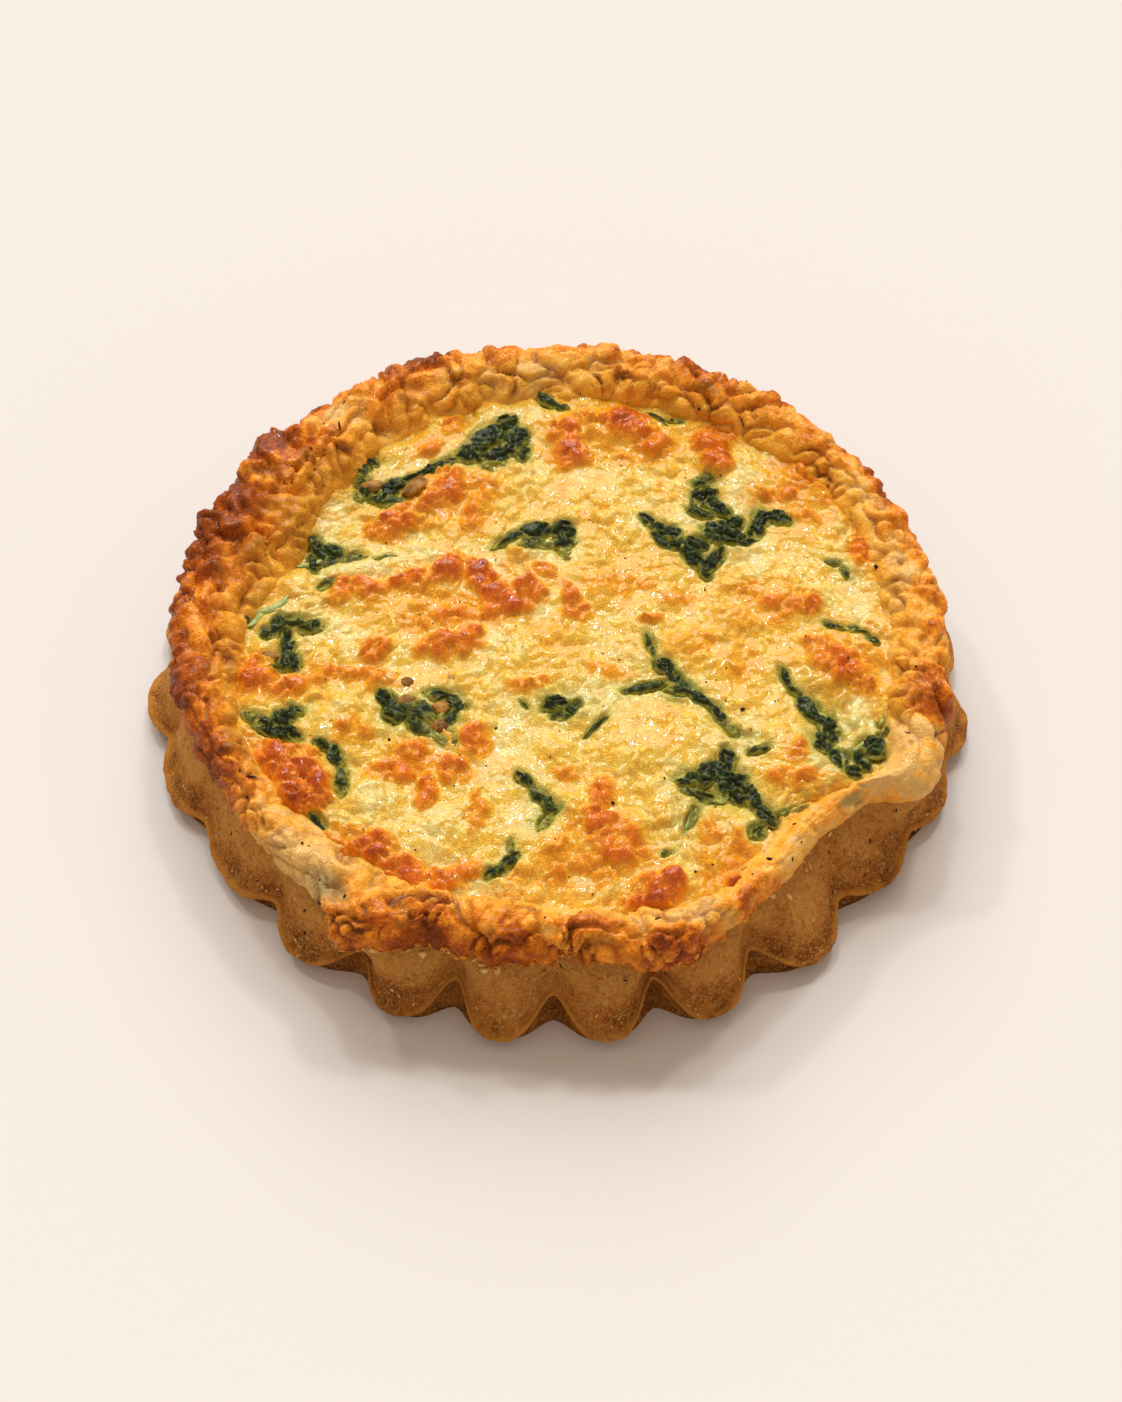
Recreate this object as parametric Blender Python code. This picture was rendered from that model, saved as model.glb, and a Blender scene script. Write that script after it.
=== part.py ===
"""Spinach quiche: a fluted pastry crust, its baked custard filling and the spinach clumps sunk in the top.

Metres, +Z up. The origin is at the middle of the flat underside. Angles are in degrees, turned
anticlockwise from +X as seen from above, so that 270 is the near side (-Y).
"""

import math

import bmesh
import bpy
from mathutils import Matrix, Vector, noise

MM = 0.001

# ---- driving dimensions, millimetres ----
GAP = 0.3
BASE_TUCK = 3.4
LIP_TIP_HEIGHT = 3.2
LIP_ROLL = 1.2
WALL_HEIGHT = 16.0
CREST_HEIGHT = 24.2
FILL_HEIGHT = 20.4
FILL_DOME = 1.4
FLOOR_HEIGHT = 3.5
CAVITY_FLOOR_RADIUS = 62.0
RIM_LUMP = 1.1
FILL_LUMP = 0.55

COLUMNS_PER_FLUTE = 5

# (angle, radius) of the petal tips, uneven on the near side; the far side is evenly spaced between them.
NEAR_TIPS = (
    (166, 75.4), (181, 76), (196, 74.2), (215, 72.4), (232, 73.8), (248, 75.3), (262, 75.6),
    (277, 75.7), (291.5, 75.4), (308, 74.4), (326, 72.8), (341, 74.3), (354, 76),
)  # fmt: skip
FAR_TIP_COUNT = 10
FAR_TIP_RADIUS = 75.3

# (angle, radius of the underside's edge between two petals)
BASE_VALLEY = (
    (0, 70.4), (20, 69), (150, 69), (186, 70.6), (205, 68), (223, 66.6), (240, 67.4), (253, 67.2),
    (269, 67.6), (287, 67.2), (303, 67.4), (317, 66.6), (332, 69.2), (342, 71), (354, 70.6),
)  # fmt: skip
# (angle, radius of the lip between two petals)
LIP_VALLEY = (
    (0, 73), (20, 72), (150, 72), (186, 72.6), (205, 70), (223, 69), (240, 68.4), (253, 67.5),
    (269, 68.7), (287, 67.6), (303, 68.3), (317, 68.8), (332, 71), (342, 73), (354, 73),
)  # fmt: skip
# (angle, height of the lip between two petals)
LIP_VALLEY_HEIGHT = (
    (0, 3.2), (20, 3.4), (150, 3.4), (186, 3.2), (205, 3.4), (223, 4.2), (240, 6.6), (253, 7.2),
    (269, 7.6), (287, 7.4), (303, 7.0), (317, 4.8), (332, 3.6), (354, 3.2),
)  # fmt: skip
# (angle, radius of the rim's outer edge at WALL_HEIGHT)
RIM_EDGE = (
    (0, 69), (30, 68.5), (60, 68.5), (90, 68.5), (120, 69), (145, 69.5), (170, 69), (190, 67.6),
    (211, 65.8), (229, 67.4), (241, 72.6), (253, 66.6), (262, 68.2), (271, 66.4), (286, 70.6),
    (296, 67.5), (304, 64.6), (317, 61.4), (326, 63), (334, 72.6), (345, 70.5),
)  # fmt: skip
# (angle, radius where the filling meets the rim)
FILL_EDGE = (
    (0, 60), (22, 60.4), (41, 60.4), (62, 58.5), (90, 58.5), (115, 57), (139, 54), (159, 51.5),
    (183, 57), (202, 60.5), (229, 59.5), (247, 60), (264, 58.8), (283, 61.5), (292, 63.4),
    (306, 59.6), (318, 56.4), (334, 65), (346, 61),
)  # fmt: skip
# (angle, height of the crest above CREST_HEIGHT)
CREST_RISE = (
    (0, 0), (40, 0.2), (66, 1.2), (90, 0.4), (112, 0.9), (146, 1.8), (170, 0.4), (205, -0.4),
    (233, -1.0), (262, 0.2), (290, -0.2), (305, -1.2), (319, -2.0), (336, -0.4),
)  # fmt: skip

# Clumps of spinach: (x, y, length, width, heading), millimetres and degrees.
CLUMPS = (
    (-12.4, 45.9, 17.0, 9.0, 42),
    (-29.0, 36.0, 20.0, 6.0, 34),
    (-3.6, 21.8, 14.5, 6.5, 12),
    (23.5, 22.5, 17.0, 8.0, -42),
    (28.2, 34.6, 11.0, 6.5, 112),
    (36.0, 27.6, 13.5, 6.5, 35),
    (-40.9, 18.7, 12.0, 7.0, -25),
    (-47.5, -3.2, 14.0, 8.0, 96),
    (-50.2, -20.6, 11.5, 6.5, -30),
    (-39.0, -31.6, 10.0, 4.2, -76),
    (-23.7, -19.6, 17.0, 10.0, -14),
    (0.5, -17.6, 8.4, 5.0, 8),
    (22.6, -14.0, 25.0, 5.6, -50),
    (29.8, -35.0, 20.0, 12.0, -44),
    (45.4, -19.2, 20.0, 5.4, -62),
    (54.4, -25.6, 8.6, 5.4, 56),
    (53.4, 0.6, 8.6, 3.6, -28),
    (-3.6, -36.0, 10.4, 4.4, -44),
    (-9.2, -50.2, 8.0, 4.4, 28),
)
CLUMP_RISE = 0.9
CLUMP_DEPTH = 2.6
CLUMP_TAPER = 0.45
CLUMP_CRUMPLE = 0.12

# Colours are linear RGB.
PASTRY = ("baked pastry", (0.42, 0.17, 0.045, 1.0), 0.75)
CUSTARD = ("baked custard", (0.86, 0.55, 0.14, 1.0), 0.45)
SPINACH = ("cooked spinach", (0.03, 0.07, 0.015, 1.0), 0.4)


def smooth_between(table, angle):
    """Value at an angle of a closed ring of (angle, value) points, eased between neighbours."""
    angle %= 360.0
    for (start, low), (end, high) in zip(table, table[1:] + ((table[0][0] + 360.0, table[0][1]),)):
        if start <= angle <= end:
            part = (angle - start) / (end - start)
            return low + (high - low) * part * part * (3.0 - 2.0 * part)
    raise ValueError("the ring of points starts above this angle")


def between(low, high, share):
    """Value a share of the way from low to high."""
    return low + (high - low) * share


def flute_tips():
    """(angle, radius) of all petal tips, one full turn from the first."""
    first, last = NEAR_TIPS[0][0] + 360.0, NEAR_TIPS[-1][0]
    step = (first - last) / (FAR_TIP_COUNT + 1)
    far = [(last + step * (count + 1), FAR_TIP_RADIUS) for count in range(FAR_TIP_COUNT)]
    return list(NEAR_TIPS) + far + [(first, NEAR_TIPS[0][1])]


def petal_wave(share):
    """1 at a petal's tip and 0 in the valley, where share runs from 0 to 1 between two tips."""
    return abs(math.cos(math.pi * share)) ** 0.8


def lump(angle, height, size, seed):
    """Smooth bumps from -1 to 1 of the given size (mm) on a ring about the rim's radius."""
    spot = Vector((68.0 * math.cos(angle), 68.0 * math.sin(angle), height + seed)) / size
    return noise.noise(spot) * 1.6


def crust_sections(angle, wave, tip):
    """(radius, height) of the crust's outline at one angle, from the underside's middle out, up and in."""
    radians = math.radians(angle)
    edge = smooth_between(RIM_EDGE, angle)
    inner = smooth_between(FILL_EDGE, angle)
    crest = CREST_HEIGHT + smooth_between(CREST_RISE, angle) + RIM_LUMP * lump(radians, 0, 7.0, 3.0)
    lip = between(smooth_between(LIP_VALLEY, angle), tip, wave)
    lip_height = between(smooth_between(LIP_VALLEY_HEIGHT, angle), LIP_TIP_HEIGHT, wave)
    base = between(smooth_between(BASE_VALLEY, angle), tip - BASE_TUCK, wave)
    bulge = edge + 1.6 + RIM_LUMP * lump(radians, 9, 6.0, 11.0)
    width = bulge - inner
    top = inner + 0.62 * width
    return (
        (0.0, 0.0),
        (base * 0.55, 0.0),
        (base, 0.0),
        (lip - 1.2 * (1.0 - wave) - 0.3, lip_height * 0.5),
        (lip, lip_height),
        (lip - 0.5, lip_height + LIP_ROLL),
        (0.5 * (lip - 0.5 + edge), 0.5 * (lip_height + LIP_ROLL + WALL_HEIGHT)),
        (edge, WALL_HEIGHT),
        (bulge, WALL_HEIGHT + 0.4 * (crest - WALL_HEIGHT)),
        (bulge - 0.14 * width, crest - 0.9),
        (top, crest),
        (inner + 0.3 * width, crest - 1.0 + RIM_LUMP * 0.6 * lump(radians, 20, 5.0, 29.0)),
        (inner, FILL_HEIGHT),
        (0.5 * (inner + CAVITY_FLOOR_RADIUS), 0.5 * (FILL_HEIGHT + FLOOR_HEIGHT)),
        (CAVITY_FLOOR_RADIUS, FLOOR_HEIGHT),
        (CAVITY_FLOOR_RADIUS * 0.5, FLOOR_HEIGHT),
        (0.0, FLOOR_HEIGHT),
    )


def fill_height(x, y, share):
    """Height of the custard's top at (x, y), where share is 0 in the middle and 1 at the rim."""
    bumps = noise.noise(Vector((x / 9.0, y / 9.0, 0.4))) + 0.6 * noise.noise(Vector((x / 4.5, y / 4.5, 7.3)))
    return FILL_HEIGHT + FILL_DOME * (1.0 - share * share) + FILL_LUMP * bumps * (1.0 - share**6)


def fill_sections(angle):
    """(radius, height) of the filling's outline at one angle, from the bottom's middle out, up and in."""
    inner = smooth_between(FILL_EDGE, angle) - GAP
    floor = CAVITY_FLOOR_RADIUS - GAP
    radians = math.radians(angle)
    spots = [(0.0, FLOOR_HEIGHT + GAP), (floor * 0.5, FLOOR_HEIGHT + GAP), (floor, FLOOR_HEIGHT + GAP)]
    spots.append((0.5 * (inner + floor), 0.5 * (FILL_HEIGHT + FLOOR_HEIGHT)))
    for share in (1.0, 0.92, 0.8, 0.66, 0.5, 0.34, 0.17, 0.0):
        radius = inner * share
        spots.append((radius, fill_height(radius * math.cos(radians), radius * math.sin(radians), share)))
    return spots


def make_material(finish):
    """Principled material with the finish's colour and roughness."""
    name, colour, roughness = finish
    material = bpy.data.materials.new(name)
    material.use_nodes = True
    shader = material.node_tree.nodes["Principled BSDF"]
    shader.inputs["Base Color"].default_value = colour
    shader.inputs["Roughness"].default_value = roughness
    shader.inputs["Metallic"].default_value = 0.0
    material.diffuse_color = colour
    return material


def add_piece(name, shape, collection, material=None):
    """Object made from a bmesh, which is freed."""
    mesh = bpy.data.meshes.new(name)
    bmesh.ops.recalc_face_normals(shape, faces=shape.faces)
    shape.to_mesh(mesh)
    shape.free()
    piece = bpy.data.objects.new(name, mesh)
    collection.objects.link(piece)
    if material:
        mesh.materials.append(material)
        mesh.shade_smooth()
    return piece


def wrapped_shell(angles, outlines):
    """Closed shell from a flat grid wrapped round the axis: one column an angle, one row a point of its outline."""
    rows = len(outlines[0])
    shape = bmesh.new()
    bmesh.ops.create_grid(shape, x_segments=len(angles), y_segments=rows - 1, size=0.5)
    for vert in shape.verts:
        column = round((vert.co.x + 0.5) * len(angles)) % len(angles)
        radius, height = outlines[column][round((vert.co.y + 0.5) * (rows - 1))]
        turn = math.radians(angles[column])
        vert.co = Vector((radius * math.cos(turn), radius * math.sin(turn), height)) * MM
    bmesh.ops.remove_doubles(shape, verts=shape.verts, dist=0.00001)
    bmesh.ops.triangulate(shape, faces=shape.faces)
    return shape


def ring_columns():
    """(angle, petal wave, tip radius) of each column of faces, the same for the crust and the filling."""
    columns = []
    tips = flute_tips()
    for (start, reach), (end, next_reach) in zip(tips, tips[1:]):
        for step in range(COLUMNS_PER_FLUTE):
            share = step / COLUMNS_PER_FLUTE
            tip = reach if share < 0.5 else next_reach
            columns.append((start + (end - start) * share, petal_wave(share), tip))
    return columns


def make_crust(collection, material):
    """One-piece pastry case: flat base, fluted skirt, lumpy rim and the hollow for the filling."""
    columns = ring_columns()
    shell = wrapped_shell([column[0] for column in columns], [crust_sections(*column) for column in columns])
    return add_piece("crust", shell, collection, material)


def make_filling(collection, material):
    """Custard that fills the crust up to its inner edge, domed and uneven on top."""
    angles = [column[0] for column in ring_columns()]
    shell = wrapped_shell(angles, [fill_sections(angle) for angle in angles])
    return add_piece("filling", shell, collection, material)


def clump_shape(clump, grow):
    """Lens-like crumpled clump lying at the custard's top, grown outwards by a margin in millimetres."""
    x, y, length, width, heading = clump
    shape = bmesh.new()
    bmesh.ops.create_icosphere(shape, subdivisions=2, radius=1.0)
    reach = math.hypot(x, y) / smooth_between(FILL_EDGE, math.degrees(math.atan2(y, x)))
    level = fill_height(x, y, reach) + CLUMP_RISE - (CLUMP_RISE + CLUMP_DEPTH) * 0.5
    for vert in shape.verts:
        along, across, up = vert.co
        crumple = 1.0 + CLUMP_CRUMPLE * noise.noise(Vector((along * 2.0 + x, across * 2.0 + y, up)))
        taper = 1.0 - CLUMP_TAPER * along * along
        vert.co.x = along * (0.5 * length * crumple + grow)
        vert.co.y = across * (0.5 * width * taper * crumple + grow)
        vert.co.z = up * (0.5 * (CLUMP_RISE + CLUMP_DEPTH) + grow)
    place = Matrix.Translation((x, y, level)) @ Matrix.Rotation(math.radians(heading), 4, "Z")
    bmesh.ops.transform(shape, matrix=Matrix.Scale(MM, 4) @ place, verts=shape.verts)
    return shape


def make_spinach(collection, cutters, filling, material):
    """Each clump is its own piece in its own pocket, cut from the filling with a small gap round it."""
    for number, clump in enumerate(CLUMPS, start=1):
        add_piece(f"spinach_{number:02d}", clump_shape(clump, 0.0), collection, material)
        pocket = add_piece(f"pocket_{number:02d}", clump_shape(clump, GAP + 0.1), cutters)
        pocket.hide_render = True
        pocket.display_type = "WIRE"
        cut = filling.modifiers.new(pocket.name, "BOOLEAN")
        cut.operation = "DIFFERENCE"
        cut.object = pocket


def centre_on_origin(crust, pieces):
    """Moves every mesh so that the crust's box stands centred on the origin."""
    lows = [min(vert.co[axis] for vert in crust.data.vertices) for axis in range(3)]
    highs = [max(vert.co[axis] for vert in crust.data.vertices) for axis in range(3)]
    middle = Vector((0.5 * (lows[0] + highs[0]), 0.5 * (lows[1] + highs[1]), lows[2]))
    for piece in pieces:
        piece.data.transform(Matrix.Translation(-middle))


def main():
    for old in list(bpy.data.objects):
        bpy.data.objects.remove(old, do_unlink=True)
    quiche = bpy.data.collections.new("spinach quiche")
    cutters = bpy.data.collections.new("cutters")
    bpy.context.scene.collection.children.link(quiche)
    bpy.context.scene.collection.children.link(cutters)
    crust = make_crust(quiche, make_material(PASTRY))
    filling = make_filling(quiche, make_material(CUSTARD))
    make_spinach(quiche, cutters, filling, make_material(SPINACH))
    centre_on_origin(crust, [*quiche.objects, *cutters.objects])


if __name__ == "__main__":
    main()
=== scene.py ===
"""Looks of the spinach quiche: pastry, custard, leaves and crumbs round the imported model.

Shapes are worked out in millimetres and turned to metres as they are written to a mesh. Angles are in
degrees, anticlockwise from +X as seen from above, so that 270 is the near side.
"""

import logging
import math
from dataclasses import dataclass, field
from enum import Enum

import bmesh
import bpy
import numpy as np
from mathutils import Matrix, Vector
from mathutils.bvhtree import BVHTree


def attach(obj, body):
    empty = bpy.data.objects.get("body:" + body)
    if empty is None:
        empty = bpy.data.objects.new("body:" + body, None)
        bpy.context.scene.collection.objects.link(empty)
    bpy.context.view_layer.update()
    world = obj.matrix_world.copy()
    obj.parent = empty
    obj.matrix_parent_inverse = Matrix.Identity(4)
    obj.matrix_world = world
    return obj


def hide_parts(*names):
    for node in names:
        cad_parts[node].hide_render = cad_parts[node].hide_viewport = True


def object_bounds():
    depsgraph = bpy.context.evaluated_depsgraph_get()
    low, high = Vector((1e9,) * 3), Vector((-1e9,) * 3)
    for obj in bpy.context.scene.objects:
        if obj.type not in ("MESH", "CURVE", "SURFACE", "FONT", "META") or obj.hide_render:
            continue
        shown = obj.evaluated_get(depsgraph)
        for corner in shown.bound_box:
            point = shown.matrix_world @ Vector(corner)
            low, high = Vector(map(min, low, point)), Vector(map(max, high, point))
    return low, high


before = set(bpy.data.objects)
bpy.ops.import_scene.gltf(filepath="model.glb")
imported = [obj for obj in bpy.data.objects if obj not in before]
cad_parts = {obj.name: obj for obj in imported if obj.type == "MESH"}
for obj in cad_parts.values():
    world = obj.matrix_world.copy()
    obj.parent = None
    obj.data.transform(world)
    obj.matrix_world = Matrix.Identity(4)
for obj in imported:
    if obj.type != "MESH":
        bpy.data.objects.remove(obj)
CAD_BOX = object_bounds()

log = logging.getLogger("quiche")

MM = 0.001
BODY = "root"

Array = np.ndarray
Colour = tuple[float, float, float]
Hit = tuple[Vector, Vector]


# ---------------------------------------------------------------- numbers that vary over the surface


def ramp(low: float, high: float, value: Array) -> Array:
    """Eased step from 0 at low to 1 at high.

    Args:
        low: Where the step starts.
        high: Where the step ends; it may lie below low for a falling step.
        value: Numbers to ease.

    Returns:
        Array of the same shape, 0 to 1.
    """
    part = np.clip((np.asarray(value, float) - low) / (high - low), 0.0, 1.0)
    return part * part * (3.0 - 2.0 * part)


def blend(first: Array | float, second: Array | float, share: Array) -> Array:
    """Mix of two values, all first where share is 0 and all second where it is 1."""
    return first + (second - first) * share


@dataclass(frozen=True)
class Ring:
    """Values given at a few angles of a full turn, eased between neighbours."""

    points: tuple[tuple[float, float], ...]

    def at(self, angle: Array) -> Array:
        """Value at each angle.

        Args:
            angle: Angles in degrees.

        Returns:
            Array of the same shape.
        """
        spots = np.array(self.points + ((self.points[0][0] + 360.0, self.points[0][1]),), float)
        turned = np.mod(np.asarray(angle, float) - spots[0, 0], 360.0) + spots[0, 0]
        index = np.clip(np.searchsorted(spots[:, 0], turned, side="right") - 1, 0, len(spots) - 2)
        part = (turned - spots[index, 0]) / (spots[index + 1, 0] - spots[index, 0])
        return blend(spots[index, 1], spots[index + 1, 1], ramp(0.0, 1.0, part))


@dataclass(frozen=True)
class Grain:
    """Repeatable noise over points in millimetres."""

    seed: int

    def chance(self, cell: Array, salt: int) -> Array:
        """Number from 0 to 1 for each whole-numbered cell.

        Args:
            cell: Whole numbers, three a point.
            salt: Picks one of many such numbers.

        Returns:
            Array of one number a point.
        """
        keys = cell.astype(np.int64).astype(np.uint64)
        mixed = keys[..., 0] * np.uint64(73856093) ^ keys[..., 1] * np.uint64(19349663)
        mixed ^= keys[..., 2] * np.uint64(83492791)
        mixed += np.uint64(self.seed * 7919 + salt * 104729)
        for shift in (30, 27, 31):
            mixed ^= mixed >> np.uint64(shift)
            mixed *= np.uint64(0x9E3779B97F4A7C15)
        return (mixed >> np.uint64(40)).astype(float) / float(1 << 24)

    def smooth(self, points: Array, size: float) -> Array:
        """Gradient noise from about -1 to 1 with waves of the given size.

        Args:
            points: Points in millimetres, three numbers each.
            size: Width of a wave.

        Returns:
            Array from -1 to 1.
        """
        spots = np.asarray(points, float) / size + 0.37
        corner = np.floor(spots)
        part = spots - corner
        fade = part**3 * (part * (part * 6.0 - 15.0) + 10.0)
        total = np.zeros(spots.shape[:-1])
        for step in np.ndindex(2, 2, 2):
            cell = corner + step
            away = part - step
            pull = sum((self.chance(cell, axis) * 2.0 - 1.0) * away[..., axis] for axis in range(3))
            share = np.ones(spots.shape[:-1])
            for axis in range(3):
                share = share * (fade[..., axis] if step[axis] else 1.0 - fade[..., axis])
            total = total + pull * share
        return np.clip(total * 1.9, -1.0, 1.0)

    def layered(self, points: Array, size: float, layers: int) -> Array:
        """Several sizes of smooth noise, each half as large and half as strong as the last."""
        total = sum(self.smooth(points, size * 0.5**layer) * 0.5**layer for layer in range(layers))
        return total / (2.0 - 0.5 ** (layers - 1))

    def cells(self, points: Array, size: float) -> tuple[Array, Array, Array]:
        """Scattered seeds, one a cell of the given size.

        Args:
            points: Points in millimetres, three numbers each.
            size: Mean distance between seeds.

        Returns:
            Distances to the nearest and the second nearest seed, in sizes, and the nearest one's own chance.
        """
        spots = np.asarray(points, float) / size
        corner = np.floor(spots)
        nearest = np.full(spots.shape[:-1], 9.0)
        second = nearest.copy()
        mark = np.zeros(spots.shape[:-1])
        for step in np.ndindex(3, 3, 3):
            cell = corner + step - 1.0
            seed = cell + np.stack([self.chance(cell, axis + 5) for axis in range(3)], axis=-1)
            gap = np.sqrt(np.sum((spots - seed) ** 2, axis=-1))
            closer = gap < nearest
            second = np.where(closer, nearest, np.minimum(second, gap))
            mark = np.where(closer, self.chance(cell, 9), mark)
            nearest = np.where(closer, gap, nearest)
        return nearest, second, mark

    def cobbles(self, points: Array, size: float, warp: float = 0.35) -> tuple[Array, Array, Array]:
        """Rounded lumps that touch, with creases between them.

        Args:
            points: Points in millimetres.
            size: Mean width of a lump.
            warp: How far the lumps' outlines wander, in sizes.

        Returns:
            Lump height from 0 to 1, crease from 0 to 1, and each lump's own chance.
        """
        bend = np.stack([self.smooth(points + 31.0 * axis, size * 0.9) for axis in range(3)], axis=-1)
        nearest, second, mark = self.cells(points + bend * size * warp, size)
        crease = 1.0 - ramp(0.02, 0.22, second - nearest)
        return np.clip(1.0 - nearest**2 * 1.1, 0.0, 1.0), crease, mark


def on_plane(x: Array, y: Array, level: float = 0.0) -> Array:
    """Points at one height, for noise over a plan view."""
    return np.stack([x, y, np.full_like(np.asarray(x, float), level)], axis=-1)


# ---------------------------------------------------------------- the quiche's own sizes


@dataclass(frozen=True)
class Blot:
    """Soft-edged oval seen from above: a browned patch, a mound, a pale stretch or a stain."""

    x: float
    y: float
    length: float
    width: float
    heading: float
    strength: float = 1.0

    def reach(self, x: Array, y: Array) -> Array:
        """Distance from the middle in half sizes, so 1 is the oval's edge.

        Args:
            x: Plan positions.
            y: Plan positions.

        Returns:
            Array, 0 in the middle and 1 on the edge.
        """
        turn = math.radians(self.heading)
        along = (x - self.x) * math.cos(turn) + (y - self.y) * math.sin(turn)
        across = (y - self.y) * math.cos(turn) - (x - self.x) * math.sin(turn)
        return np.hypot(along / (0.5 * self.length), across / (0.5 * self.width))


def blots_at(blots: tuple[Blot, ...], x: Array, y: Array, soft: float) -> Array:
    """Strongest of some blots at each point.

    Args:
        blots: The ovals.
        x: Plan positions.
        y: Plan positions.
        soft: Width of the fading edge, in half sizes.

    Returns:
        Array from 0 to the largest strength.
    """
    total = np.zeros_like(x)
    for blot in blots:
        total = np.maximum(total, blot.strength * ramp(1.0 + soft, 1.0 - soft, blot.reach(x, y)))
    return total


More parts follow.
